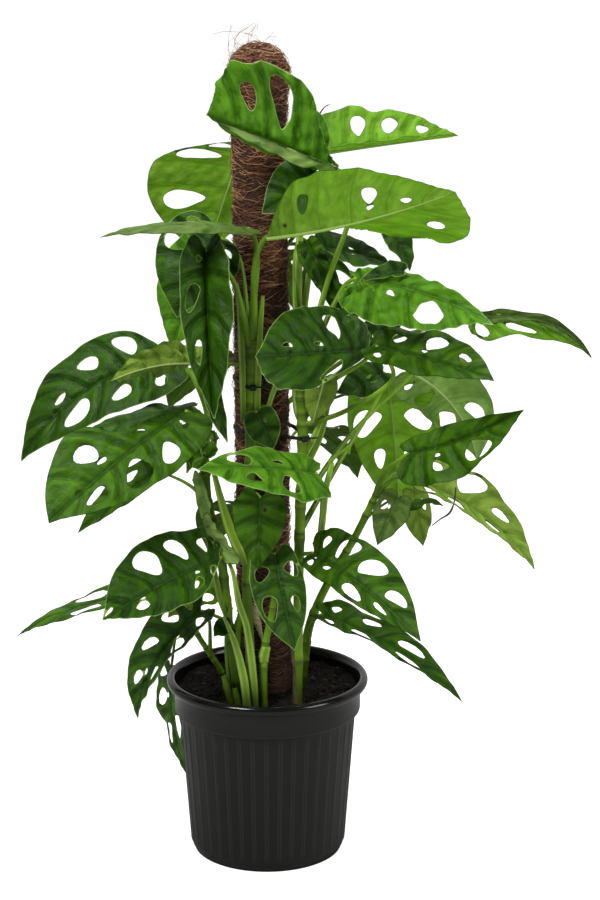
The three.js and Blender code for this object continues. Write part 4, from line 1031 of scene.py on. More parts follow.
@dataclass
class ShootBuilder:
    """Makes a stem with all its petioles: nodes, sheaths, channels and the joints at the blades.

    The neck above a node is how much thinner it is, how far above the node it lies and how long it is;
    a petiole's joint is how much thicker it is, where it lies and how long it is: shares of the whole.
    """

    stem_sides: int = 20
    stalk_sides: int = 16
    stalk_steps: int = 30
    node_swell: float = 0.14
    node_reach: float = 0.012
    neck: tuple[float, float, float] = (0.06, 0.018, 0.006)
    joint: tuple[float, float, float] = (0.2, 0.93, 0.035)

    def build(self, name: str, material: Material) -> Object:
        """Make one stem with its petioles.

        Args:
            name: The stem's name in the table.
            material: Its finish.

        Returns:
            The finished piece.
        """
        mine = [blade for blade in BLADES.values() if blade.stalk.stem == name]
        shells = [self.stem(STEMS[name], sorted(blade.stalk.start for blade in mine))]
        shells += [self.petiole(blade) for blade in mine]
        piece = Shell.joined(shells).to_object(f"shoot_{name}", material)
        return settle(piece, "stem", f"stem_{name}")

    def trimming(self, name: str, form: Trimming, material: Material) -> Object:
        """Make one bare form: a root, a stub, a dry spike or a thread.

        Args:
            name: Its name in the table.
            form: Its row.
            material: Its finish.

        Returns:
            The finished piece.
        """
        x = np.linspace(0, 1, 8 * len(form.path))
        path = through(np.array(form.path, float), x)
        radii = np.maximum(through(np.array(form.radii, float)[:, None], x)[:, 0], 0.25)
        radii = radii * (1 + 0.03 * np.sin(17 * x + len(name)))
        sheathed = form.kind == "stalk"
        shell = tube(path, radii, self.stalk_sides, np.array([0.2, -1, 0.3]),
                     0.3 * sheathed * np.ones(len(x)))
        shell.values["old"] = on_rings(0.5 * np.clip(1 - x / 0.3, 0, 1) * sheathed, self.stalk_sides)
        shell.values["scar"] = np.zeros(len(shell.points))
        return settle(shell.to_object(name, material), "stem")

    def stem(self, stem: Stem, nodes: list[float]) -> Shell:
        """Make the stem itself, swollen at its nodes.

        Args:
            stem: The stem's row.
            nodes: How far up the petioles leave.

        Returns:
            A closed shell.
        """
        count = 40 * (len(stem.path) - 1)
        x = np.linspace(0, 1, count)
        path = through(np.array(stem.path, float), x)
        radii = stem.radius[0] + (stem.radius[1] - stem.radius[0]) * x
        rings = np.unique(np.concatenate([nodes, np.arange(0.14, 0.97, 0.15)]))
        waist, above_node, waist_reach = self.neck
        for node in rings:
            radii = radii * (1 + self.node_swell * bell(x - node, self.node_reach)
                             - waist * bell(x - node - above_node, waist_reach))
        radii[-6:] *= np.sqrt(np.linspace(1, 0.12, 6))
        shell = tube(path, radii, self.stem_sides, np.array([0, -1, 0]))
        rank = np.searchsorted(rings, x, side="right")
        below, above = np.append(0, rings)[rank], np.append(rings, 1)[rank]
        climb = (x - below) / np.maximum(above - below, 1e-3)
        shell.values["old"] = on_rings(0.55 * climb, self.stem_sides)
        scar = bell(np.abs(x[:, None] - rings).min(1), 0.005)
        shell.values["scar"] = on_rings(scar, self.stem_sides)
        return shell

    def path(self, blade: Blade, steps: int) -> np.ndarray:
        """Follow a petiole out of its stem, upward, and into the base of its blade.

        Args:
            blade: The blade's row.
            steps: How many steps the path has.

        Returns:
            The points of the path.
        """
        stalk = blade.stalk
        root = through(np.array(STEMS[stalk.stem].path, float), stalk.start)
        base = np.array(blade.base, float)
        x = np.linspace(0, 1, steps + 1)
        if stalk.via:
            return through(np.array([root, *stalk.via, base], float), x)
        span = base - root
        length = float(np.linalg.norm(span))
        outward = unit(span * (1, 1, 0))
        control = (base + np.array(blade.tip)) / 2 + np.array(blade.bow)
        arrive = unit(0.5 * unit(control - base) + 0.3 * outward + (0, 0, 0.5))
        leave = root + outward * 0.12 * length + (0, 0, 0.4 * length)
        enter = base - arrive * 0.3 * length
        x = x[:, None]
        return ((1 - x) ** 3 * root + 3 * x * (1 - x) ** 2 * leave
                + 3 * x * x * (1 - x) * enter + x ** 3 * base)

    def petiole(self, blade: Blade) -> Shell:
        """Make a petiole: sheathed and channelled below, and bent in a thick joint at the blade.

        Args:
            blade: The blade's row.

        Returns:
            A closed shell.
        """
        path = self.path(blade, self.stalk_steps)
        x = np.linspace(0, 1, len(path))
        radius = blade.stalk.radius
        end = 0.42 * radius + 0.55
        radii = radius * (1.12 - 0.5 * x ** 0.8)
        swell, place, reach = self.joint
        radii = np.maximum(radii, end) * (1 + swell * bell(x - place, reach))
        radii[-3:] = [end * 1.12, end, end * 0.8]
        groove = 0.34 * np.clip(1 - x / 0.8, 0, 1) ** 0.5
        stem = through(np.array(STEMS[blade.stalk.stem].path, float), min(blade.stalk.start + 0.05, 1))
        inner = unit(stem - path[len(path) // 3]) + (0, 0, 0.8)
        shell = tube(path, radii, self.stalk_sides, inner, groove)
        shell.values["old"] = on_rings(0.45 * (1 - x) ** 2, self.stalk_sides)
        shell.values["scar"] = np.zeros(len(shell.points))
        return shell


# ---------------------------------------------------------------------------- finishes

@dataclass
class Wiring:
    """Adds nodes to a node tree and joins them."""

    tree: NodeTree

    def node(self, kind: str, inputs: dict[str | int, object] | None = None,
             **settings: object) -> Node:
        """Add a node.

        Args:
            kind: The node's type.
            inputs: A value or another node's socket for each of its inputs.
            settings: The node's own settings.

        Returns:
            The new node.
        """
        node = self.tree.nodes.new(kind)
        for key, value in settings.items():
            setattr(node, key, value)
        self.feed(node, inputs or {})
        return node

    def feed(self, node: Node, inputs: dict[str | int, object]) -> None:
        """Set inputs of a node.

        Args:
            node: The node.
            inputs: A value or another node's socket for each input.
        """
        for key, value in inputs.items():
            if isinstance(value, NodeSocket):
                self.tree.links.new(value, node.inputs[key])
            elif node.inputs[key].type == "RGBA":
                node.inputs[key].default_value = (*value, 1.0)
            else:
                node.inputs[key].default_value = value

    def math(self, operation: str, a: object, b: object = 0.0,
             clamp: bool = False) -> NodeSocket:
        """Work one operation on two values and return its result."""
        return self.node("ShaderNodeMath", {0: a, 1: b}, operation=operation, use_clamp=clamp).outputs[0]

    def times(self, a: object, b: object) -> NodeSocket:
        """Return the product of two values."""
        return self.math("MULTIPLY", a, b)

    def plus(self, a: object, b: object) -> NodeSocket:
        """Return the sum of two values."""
        return self.math("ADD", a, b)

    def minus(self, a: object, b: object) -> NodeSocket:
        """Return the first value less the second."""
        return self.math("SUBTRACT", a, b)

    def most(self, a: object, b: object) -> NodeSocket:
        """Return the larger of two values."""
        return self.math("MAXIMUM", a, b)

    def ranged(self, value: object, start: float, end: float, low: float = 0.0, high: float = 1.0,
               smooth: bool = False) -> NodeSocket:
        """Carry the values from start to end over to low to high, held at both ends."""
        return self.node("ShaderNodeMapRange", {
            "Value": value, "From Min": start, "From Max": end, "To Min": low, "To Max": high},
            interpolation_type="SMOOTHSTEP" if smooth else "LINEAR").outputs["Result"]

    def near(self, distance: object, reach: float) -> NodeSocket:
        """Return a mask that falls from 1 at no distance to 0 at reach."""
        return self.ranged(distance, reach, 0.0, smooth=True)

    def mix(self, share: object, a: object, b: object, blend: str = "MIX") -> NodeSocket:
        """Mix two colours and return the result."""
        return self.node("ShaderNodeMix", {"Factor": share, 6: a, 7: b}, data_type="RGBA",
                         blend_type=blend).outputs[2]

    def ramp(self, value: object, stops: list[tuple[float, Colour]]) -> NodeSocket:
        """Turn a value into a colour along a ramp and return the colour."""
        node = self.node("ShaderNodeValToRGB", {"Fac": value})
        ramp = node.color_ramp
        while len(ramp.elements) < len(stops):
            ramp.elements.new(0.5)
        for element, (place, colour) in zip(ramp.elements, stops):
            element.position = place
            element.color = (*colour, 1.0)
        return node.outputs["Color"]

    def noise(self, vector: object, scale: float, detail: float = 3.0,
              rough: float = 0.55) -> NodeSocket:
        """Add a noise and return its value."""
        return self.node("ShaderNodeTexNoise", {
            "Vector": vector, "Scale": scale, "Detail": detail, "Roughness": rough}).outputs["Fac"]

    def xyz(self, x: object = 0.0, y: object = 0.0, z: object = 0.0) -> NodeSocket:
        """Put three values together and return them as a vector."""
        return self.node("ShaderNodeCombineXYZ", {"X": x, "Y": y, "Z": z}).outputs[0]

    def place(self) -> NodeSocket:
        """Return where each point of the piece is."""
        return self.node("ShaderNodeTexCoord").outputs["Object"]

    def value(self, name: str) -> NodeSocket:
        """Read one of the mesh's own values."""
        return self.node("ShaderNodeAttribute", attribute_name=name).outputs["Fac"]


def new_group(name: str, inputs: dict[str, tuple[str, object]],
              outputs: dict[str, str]) -> tuple[NodeTree, Wiring, dict, Node]:
    """Start a shader node group.

    Args:
        name: The group's name.
        inputs: The kind and the usual value of each input.
        outputs: The kind of each output.

    Returns:
        The group, its wiring, its input sockets by name, and its output node.
    """
    group = bpy.data.node_groups.new(name, "ShaderNodeTree")
    kinds = {"colour": "NodeSocketColor", "value": "NodeSocketFloat", "vector": "NodeSocketVector"}
    for key, (kind, usual) in inputs.items():
        socket = group.interface.new_socket(key, in_out="INPUT", socket_type=kinds[kind])
        if usual is not None:
            socket.default_value = (*usual, 1.0) if kind == "colour" else usual
    for key, kind in outputs.items():
        group.interface.new_socket(key, in_out="OUTPUT", socket_type=kinds[kind])
    wiring = Wiring(group)
    start = wiring.node("NodeGroupInput")
    return group, wiring, {s.name: s for s in start.outputs}, wiring.node("NodeGroupOutput")


def mottle_group() -> NodeTree:
    """Build the cloudy change of colour that the leaves, stems, soil, fibre and plastic share.

    Returns:
        A group that puts out a colour between two, the fine grain as a height, and the clouds as a mask.
    """
    group, w, get, out = new_group("Mottle", {
        "Vector": ("vector", None), "Dark": ("colour", (0.1, 0.1, 0.1)),
        "Light": ("colour", (0.3, 0.3, 0.3)), "Scale": ("value", 5.0), "Contrast": ("value", 1.0),
        "Grain Scale": ("value", 200.0)}, {"Colour": "colour", "Height": "value", "Mask": "value"})
    cloud = w.node("ShaderNodeTexNoise", {
        "Vector": get["Vector"], "Scale": get["Scale"], "Detail": 4.0}).outputs["Fac"]
    sharp = w.math("ADD", w.times(w.minus(cloud, 0.5), get["Contrast"]), 0.5, clamp=True)
    grain = w.node("ShaderNodeTexNoise", {
        "Vector": get["Vector"], "Scale": get["Grain Scale"], "Detail": 2.0}).outputs["Fac"]
    w.feed(out, {"Colour": w.mix(sharp, get["Dark"], get["Light"]), "Height": grain, "Mask": sharp})
    return group


@dataclass(frozen=True)
class LeafFinish:
    """The colours of one tone of leaf: upper side, underside, veins, margin, light from behind."""

    dark: Colour
    light: Colour
    under: Colour
    vein: Colour
    rim: Colour
    glow: Colour
    glow_share: float = 0.3
    roughness: float = 0.34


# Rim is the margin's colour: a painted highlight for the deep and fresh tones, and a dark line for the
# others.
LEAF_FINISHES = {
    Tone.DEEP: LeafFinish((0.006, 0.027, 0.0005), (0.04, 0.125, 0.002), (0.08, 0.19, 0.01),
                          (0.07, 0.19, 0.008), (0.26, 0.4, 0.1), (0.08, 0.28, 0.001), 0.16),
    Tone.MID: LeafFinish((0.012, 0.047, 0.0005), (0.072, 0.2, 0.002), (0.11, 0.22, 0.01),
                         (0.1, 0.25, 0.01), (0.012, 0.036, 0.001), (0.16, 0.42, 0.002), 0.22),
    Tone.FRESH: LeafFinish((0.026, 0.11, 0.001), (0.15, 0.4, 0.014), (0.17, 0.34, 0.03),
                           (0.24, 0.46, 0.05), (0.36, 0.54, 0.16), (0.2, 0.52, 0.005), 0.24, 0.4),
    Tone.LIT: LeafFinish((0.07, 0.18, 0.004), (0.24, 0.5, 0.03), (0.33, 0.55, 0.065),
                         (0.46, 0.64, 0.17), (0.03, 0.06, 0.006), (0.5, 0.84, 0.07), 0.5, 0.46),
    Tone.PALE: LeafFinish((0.14, 0.26, 0.015), (0.34, 0.5, 0.07), (0.26, 0.42, 0.05),
                          (0.44, 0.58, 0.2), (0.06, 0.1, 0.01), (0.36, 0.58, 0.03), 0.3, 0.5),
    Tone.OLIVE: LeafFinish((0.05, 0.1, 0.014), (0.14, 0.24, 0.04), (0.13, 0.23, 0.04),
                           (0.2, 0.3, 0.09), (0.04, 0.07, 0.015), (0.16, 0.28, 0.04), 0.2, 0.5),
    Tone.GREY: LeafFinish((0.26, 0.4, 0.11), (0.52, 0.74, 0.2), (0.5, 0.74, 0.2),
                          (0.56, 0.74, 0.28), (0.06, 0.1, 0.02), (0.5, 0.8, 0.2), 0.4, 0.5),
}


@dataclass(frozen=True)
class PlainFinish:
    """A cloudy colour with a fine grain: relief is its strength, and its height in metres."""

    dark: Colour
    light: Colour
    scale: float
    contrast: float
    grain: float
    roughness: float
    relief: tuple[float, float]
    specular: float = 0.5


PLAIN_FINISHES = {
    "potting_mix": PlainFinish((0.0025, 0.0018, 0.0012), (0.014, 0.009, 0.005), 120.0, 2.2, 700.0,
                               0.9, (0.8, 0.0025), 0.2),
    "tie_plastic": PlainFinish((0.006, 0.006, 0.006), (0.014, 0.014, 0.014), 60.0, 1.5, 2000.0,
                               0.42, (0.2, 0.0002), 0.25),
    "dry_husk": PlainFinish((0.02, 0.016, 0.008), (0.13, 0.085, 0.04), 70.0, 2.0, 1200.0,
                            0.7, (0.5, 0.0006)),
}


@dataclass
class Finishes:
    """Builds every material of the plant, and the groups that they share."""

    mottle: NodeTree = field(default_factory=mottle_group)

    def start(self, name: str) -> tuple[Material, Wiring, Node]:
        """Start a material.

        Args:
            name: Its name.

        Returns:
            The material, its wiring, and its main shader, which is joined to the output.
        """
        material = bpy.data.materials.new(name)
        material.use_nodes = True
        wiring = Wiring(material.node_tree)
        shader = next(n for n in material.node_tree.nodes if n.type == "BSDF_PRINCIPLED")
        return material, wiring, shader

    def cloud(self, w: Wiring, vector: object, dark: object, light: object, scale: float,
              contrast: float = 1.6, grain: float = 200.0) -> Node:
        """Place the mottle group in a material.

        Args:
            w: The material's wiring.
            vector: Where the pattern lies.
            dark: The darker colour.
            light: The lighter colour.
            scale: The size of the clouds.
            contrast: How strongly they part.
            grain: The size of the fine grain.

        Returns:
            The group's node.
        """
        return w.node("ShaderNodeGroup", {
            "Vector": vector, "Dark": dark, "Light": light, "Scale": scale, "Contrast": contrast,
            "Grain Scale": grain}, node_tree=self.mottle)

    def bump(self, w: Wiring, shader: Node, height: object, strength: float,
             distance: float) -> None:
        """Give a shader a relief from a height.

        Args:
            w: The material's wiring.
            shader: The shader.
            height: The height's socket.
            strength: From 0 to 1.
            distance: How high the height is, in metres.
        """
        node = w.node("ShaderNodeBump", {"Height": height, "Strength": strength, "Distance": distance})
        w.feed(shader, {"Normal": node.outputs["Normal"]})

    def leaf(self, tone: Tone) -> Material:
        """Make the leaf tissue of one tone: veins, streaks, margins, and light from behind.

        Args:
            tone: The tone.

        Returns:
            The material.
        """
        look = LEAF_FINISHES[tone]
        material, w, shader = self.start(f"leaf_{tone.value}")
        flat = w.node("ShaderNodeTexCoord").outputs["UV"]
        lane, reach = w.value("lane"), w.value("reach")
        along_veins = w.xyz(lane, w.times(reach, 0.015), w.value("rank"))
        cloud = self.cloud(w, flat, look.dark, look.light, 3.4, 2.6, 60.0)
        streak = w.noise(along_veins, 4.5, 4.0, 0.62)
        cells = w.node("ShaderNodeTexVoronoi", {"Vector": along_veins, "Scale": 6.5},
                       feature="DISTANCE_TO_EDGE").outputs["Distance"]
        net = w.near(cells, 0.11)
        wander = w.times(w.noise(flat, 24.0, 2.0), 0.8)
        vein = w.near(w.plus(w.value("vein"), wander), 2.0)
        # Valley is a mask near the side veins. It paints shade into their grooves, and it also sinks the
        # bump there.
        valley = w.near(w.value("vein"), 6.0)
        # Rib marks the midrib's own line. The wider mask round it paints shade in the midrib's groove.
        rib, rib_groove_shade = w.near(w.value("rib"), 1.0), w.near(w.value("rib"), 5.0)
        rim = w.near(w.value("edge"), 1.05)
        lively = w.ranged(streak, 0.4, 0.62)
        # Space and band run across each lane between the side veins. Band paints shade that grows darker
        # towards the next vein.
        space = w.math("FRACT", w.plus(lane, w.times(streak, 0.16)))
        band = w.ranged(space, 0.15, 1.0, smooth=True)
        upper = w.mix(w.times(lively, 0.6), cloud.outputs["Colour"], look.light)
        dull = w.ranged(streak, 0.5, 0.36, high=0.55)
        upper = w.mix(w.most(dull, w.times(band, 0.5)), upper, look.dark)
        upper = w.mix(w.times(net, 0.14), upper, look.vein)
        # Painted shade in the valleys beside the side veins.
        upper = w.mix(w.times(valley, 0.45), upper, look.dark)
        # Painted highlight on the crests of the pillows, about 8 mm from the side veins.
        crest_highlight = w.times(w.near(w.math("ABSOLUTE", w.minus(w.value("vein"), 8.0)), 4.0), 0.5)
        upper = w.mix(crest_highlight, upper, look.light)
        # Dark vein lines, and painted shade in the midrib's groove.
        upper = w.mix(w.times(w.most(vein, rib_groove_shade), 0.8), upper, look.dark)
        upper = w.mix(w.times(rib, 0.5), upper, look.vein)
        under = self.cloud(w, flat, tuple(0.6 * c for c in look.under), look.under, 4.0, 2.2)
        below = w.mix(w.times(lively, 0.5), under.outputs["Colour"], look.under)
        # The underside gets painted shade too, in the vein valleys and across each lane.
        deep = tuple(0.42 * c for c in look.under)
        below = w.mix(w.most(w.times(dull, 0.7), w.times(w.most(valley, band), 0.5)), below, deep)
        below = w.mix(w.times(net, 0.15), below, look.vein)
        below = w.mix(w.times(vein, 0.8), below, look.dark)
        below = w.mix(w.times(rib, 0.85), below, tuple(1.15 * c for c in look.vein))
        tissue = w.mix(w.value("under"), upper, below)
        # The margin's colour: a painted highlight on the deep and fresh tones, and a dark line on the
        # others.
        tissue = w.mix(rim, tissue, look.rim)
        matt = w.ranged(w.value("under"), 0.0, 1.0, look.roughness, 0.6)
        w.feed(shader, {"Base Color": tissue, "Roughness": w.plus(matt, w.times(streak, 0.12)),
                        "Specular IOR Level": 0.16})
        raised = w.plus(w.times(streak, 0.8), w.times(cloud.outputs["Height"], 0.22))
        relief = w.minus(raised, w.plus(w.times(valley, 0.9), w.times(net, 0.1)))
        self.bump(w, shader, relief, 0.9, 0.0022)
        shaded = w.most(w.times(vein, 0.5), w.most(rib, w.times(w.minus(1.0, lively), 0.55)))
        glow = w.mix(w.times(w.most(shaded, rim), 0.6), look.glow, tuple(0.35 * c for c in look.glow))
        through_light = w.node("ShaderNodeBsdfTranslucent", {"Color": glow})
        blend = w.node("ShaderNodeMixShader", {0: look.glow_share, 1: shader.outputs["BSDF"],
                                               2: through_light.outputs["BSDF"]})
        w.feed(w.tree.nodes["Material Output"], {"Surface": blend.outputs[0]})
        return material

    def stem(self) -> Material:
        """Make the skin of stems and petioles: light green, streaked, with paler channel edges."""
        material, w, shader = self.start("stem_skin")
        place = w.place()
        streaks = w.node("ShaderNodeMapping", {"Vector": place, "Scale": (220.0, 220.0, 9.0)})
        cloud = self.cloud(w, place, (0.035, 0.12, 0.002), (0.19, 0.39, 0.008), 16.0, 3.0, 900.0)
        fine = w.noise(streaks.outputs["Vector"], 1.0, 3.0)
        skin = w.mix(w.times(fine, 0.32), cloud.outputs["Colour"], (0.42, 0.6, 0.06))
        skin = w.mix(w.times(w.value("rim"), 0.65), skin, (0.5, 0.62, 0.2))
        spots = w.ranged(w.noise(place, 120.0, 4.0, 0.7), 0.66, 0.72)
        skin = w.mix(w.times(spots, 0.45), skin, (0.13, 0.1, 0.04))
        skin = w.mix(w.value("old"), skin, (0.022, 0.085, 0.002))
        skin = w.mix(w.times(w.value("scar"), 0.75), skin, (0.06, 0.05, 0.012))
        height = w.node("ShaderNodeSeparateXYZ", {0: place}).outputs[2]
        # Near the soil the skin darkens: dirt, and painted shade where the stems enter the soil.
        dirt_and_shade = w.ranged(height, 0.252, 0.203, smooth=True)
        skin = w.mix(w.times(dirt_and_shade, 0.85), skin, (0.02, 0.022, 0.004))
        w.feed(shader, {
            "Base Color": skin, "Roughness": 0.42, "Specular IOR Level": 0.2,
            "Subsurface Weight": 0.12, "Subsurface Radius": (0.4, 1.0, 0.2), "Subsurface Scale": 0.004})
        self.bump(w, shader, w.plus(fine, w.times(cloud.outputs["Height"], 0.5)), 0.35, 0.0005)
        return material

    def fibre(self, name: str, dark: Colour, middle: Colour, light: Colour) -> Material:
        """Make loose fibre, each strand in a shade of its own.

        Args:
            name: The material's name.
            dark: The darkest strands.
            middle: The usual strands.
            light: The few lightest strands.

        Returns:
            The material.
        """
        material, w, shader = self.start(name)
        place = w.place()
        shade = w.value("shade")
        strand = w.ramp(shade, [(0.0, dark), (0.5, middle), (0.9, light), (1.0, light)])
        cloud = self.cloud(w, place, (0.22, 0.17, 0.15), (1.0, 1.0, 1.0), 22.0, 3.0, 1500.0)
        colour = w.mix(1.0, strand, cloud.outputs["Colour"], blend="MULTIPLY")
        height = w.node("ShaderNodeSeparateXYZ", {0: place}).outputs[2]
        # Darker towards the bottom.
        darker_low = w.ranged(height, 0.2, 0.42, 0.72, 0.0, smooth=True)
        colour = w.mix(darker_low, colour, tuple(0.3 * c for c in dark))
        w.feed(shader, {"Base Color": colour, "Roughness": 0.75})
        self.bump(w, shader, cloud.outputs["Height"], 0.4, 0.0003)
        return material

    def mat_core(self) -> Material:
        """Make the packed fibre that shows between the strands of the pole."""
        material, w, shader = self.start("coir_core")
        place = w.place()
        wrapped = w.node("ShaderNodeMapping", {"Vector": place, "Scale": (1.0, 1.0, 2.4)})
        # The core's near-black colour paints the shade in the gaps between the wound strands.
        cloud = self.cloud(w, wrapped.outputs["Vector"], (0.008, 0.003, 0.0015), (0.07, 0.025, 0.01),
                           160.0, 2.4, 900.0)
        w.feed(shader, {"Base Color": cloud.outputs["Colour"], "Roughness": 0.95})
        self.bump(w, shader, cloud.outputs["Mask"], 0.9, 0.003)
        return material

    def plain(self, name: str) -> Material:
        """Make one of the plain finishes.

        Args:
            name: Its name in the table.

        Returns:
            The material.
        """
        look = PLAIN_FINISHES[name]
        material, w, shader = self.start(name)
        cloud = self.cloud(w, w.place(), look.dark, look.light, look.scale, look.contrast, look.grain)
        w.feed(shader, {"Base Color": cloud.outputs["Colour"], "Roughness": look.roughness,
                        "Specular IOR Level": look.specular})
        self.bump(w, shader, cloud.outputs["Height"], *look.relief)
        return material

    def pot(self) -> Material:
        """Make the pot's moulded plastic: nearly black, glossier at the rim, finely scuffed."""
        material, w, shader = self.start("pot_plastic")
        place = w.place()
        cloud = self.cloud(w, place, (0.0035, 0.0037, 0.0028), (0.0065, 0.0068, 0.0055), 9.0, 1.5, 1200.0)
        drawn = w.node("ShaderNodeMapping", {"Vector": place, "Scale": (300.0, 300.0, 6.0)})
        scuff = w.noise(drawn.outputs["Vector"], 1.0, 4.0, 0.7)
        dust = w.ranged(scuff, 0.62, 0.85)
        colour = w.mix(w.times(dust, 0.15), cloud.outputs["Colour"], (0.03, 0.03, 0.028))
        # Painted highlights: lighter lines along the flute ridges and the band's lower edge.
        colour = w.mix(w.times(w.value("edge_highlight"), 0.8), colour, (0.045, 0.046, 0.042))
        gloss = w.ranged(w.value("height"), 176.0, 204.0, 0.4, 0.1)
        w.feed(shader, {"Base Color": colour, "Roughness": w.plus(gloss, w.times(scuff, 0.12)),
                        "Specular IOR Level": 0.3})
        self.bump(w, shader, cloud.outputs["Height"], 0.12, 0.0002)
        return material

    def root(self) -> Material:
        """Make the pale, spotted skin of a bare root."""
        material, w, shader = self.start("root_skin")
        place = w.place()
        cloud = self.cloud(w, place, (0.42, 0.34, 0.18), (0.85, 0.74, 0.46), 120.0, 2.0, 900.0)
        spots = w.ranged(w.noise(place, 420.0, 3.0, 0.6), 0.55, 0.6)
        skin = w.mix(w.times(spots, 0.8), cloud.outputs["Colour"], (0.05, 0.03, 0.015))
        w.feed(shader, {"Base Color": skin, "Roughness": 0.7})
        self.bump(w, shader, cloud.outputs["Height"], 0.6, 0.0008)
        return material

    def floor(self) -> Material:
        """Make the pale studio floor."""
        material, w, shader = self.start("studio_floor")
        place = w.place()
        cloud = self.cloud(w, place, (0.44, 0.44, 0.435), (0.48, 0.48, 0.475), 2.0, 1.0, 300.0)
        seen = w.node("ShaderNodeLightPath").outputs["Is Camera Ray"]
        w.feed(shader, {"Base Color": cloud.outputs["Colour"], "Roughness": 0.9,
                        "Emission Color": (1.0, 1.0, 1.0), "Emission Strength": w.times(seen, 0.88)})
        return material


# ---------------------------------------------------------------------------- trees of geometry nodes

def new_tree(name: str, inputs: dict[str, tuple[str, object]]
             ) -> tuple[NodeTree, Wiring, dict, Node]:
    """Start a tree of geometry nodes.

    Args:
        name: The tree's name.
        inputs: The kind and the usual value of each input.

    Returns:
        The tree, its wiring, its input sockets by name, and its output node.
    """
    tree = bpy.data.node_groups.new(name, "GeometryNodeTree")
    tree.interface.new_socket("Geometry", in_out="INPUT", socket_type="NodeSocketGeometry")
    tree.interface.new_socket("Geometry", in_out="OUTPUT", socket_type="NodeSocketGeometry")
    kinds = {"length": "NodeSocketFloat", "value": "NodeSocketFloat", "count": "NodeSocketInt",
             "material": "NodeSocketMaterial"}
    for key, (kind, usual) in inputs.items():
        socket = tree.interface.new_socket(key, in_out="INPUT", socket_type=kinds[kind])
        if usual is not None:
            socket.default_value = usual
    wiring = Wiring(tree)
    start = wiring.node("NodeGroupInput")
    return tree, wiring, {s.name: s for s in start.outputs}, wiring.node("NodeGroupOutput")


def random_value(w: Wiring, low: object, high: object, seed: object) -> NodeSocket:
    """Add a random value between two others and return it."""
    return w.node("FunctionNodeRandomValue", {2: low, 3: high, 8: seed}, data_type="FLOAT").outputs[1]


def marked(w: Wiring, geometry: object, name: str, seed: int) -> NodeSocket:
    """Store a random value from 0 to 1 on each instance and return the geometry."""
    return w.node("GeometryNodeStoreNamedAttribute", {
        "Geometry": geometry, "Name": name, "Value": random_value(w, 0.0, 1.0, seed)},
        data_type="FLOAT", domain="INSTANCE").outputs["Geometry"]


def close_tree(w: Wiring, geometry: object, material: object, out: Node) -> None:
    """End a tree of geometry nodes in Realize Instances and Set Material."""
    real = w.node("GeometryNodeRealizeInstances", {"Geometry": geometry})
    dressed = w.node("GeometryNodeSetMaterial", {
        "Geometry": real.outputs["Geometry"], "Material": material})
    w.feed(out, {"Geometry": dressed.outputs["Geometry"]})


def grown(name: str, source: Shell | None, tree: NodeTree,
          values: dict[str, object]) -> Object:
    """Run a tree of geometry nodes on a mesh and keep its result as a plain mesh.

    Args:
        name: The new object's name.
        source: The shell that the tree starts from, or None where it needs none.
        tree: The tree.
        values: What its inputs are set to.

    Returns:
        The new object, with no modifier on it.
    """
    mesh = bpy.data.meshes.new(name)
    if source is not None:
        mesh.from_pydata((source.points * MM).tolist(), [], source.faces)
    piece = link(bpy.data.objects.new(name, mesh))
    modifier = piece.modifiers.new("grow", "NODES")
    modifier.node_group = tree
    for socket in tree.interface.items_tree:
        if socket.in_out == "INPUT" and socket.name in values:
            modifier[socket.identifier] = values[socket.name]
    evaluated = piece.evaluated_get(bpy.context.evaluated_depsgraph_get())
    result = bpy.data.meshes.new_from_object(evaluated)
    piece.modifiers.remove(modifier)
    piece.data = result
    result.name = name
    bpy.data.meshes.remove(mesh)
    result.polygons.foreach_set("use_smooth", [True] * len(result.polygons))
    return piece


# ---------------------------------------------------------------------------- pot and soil

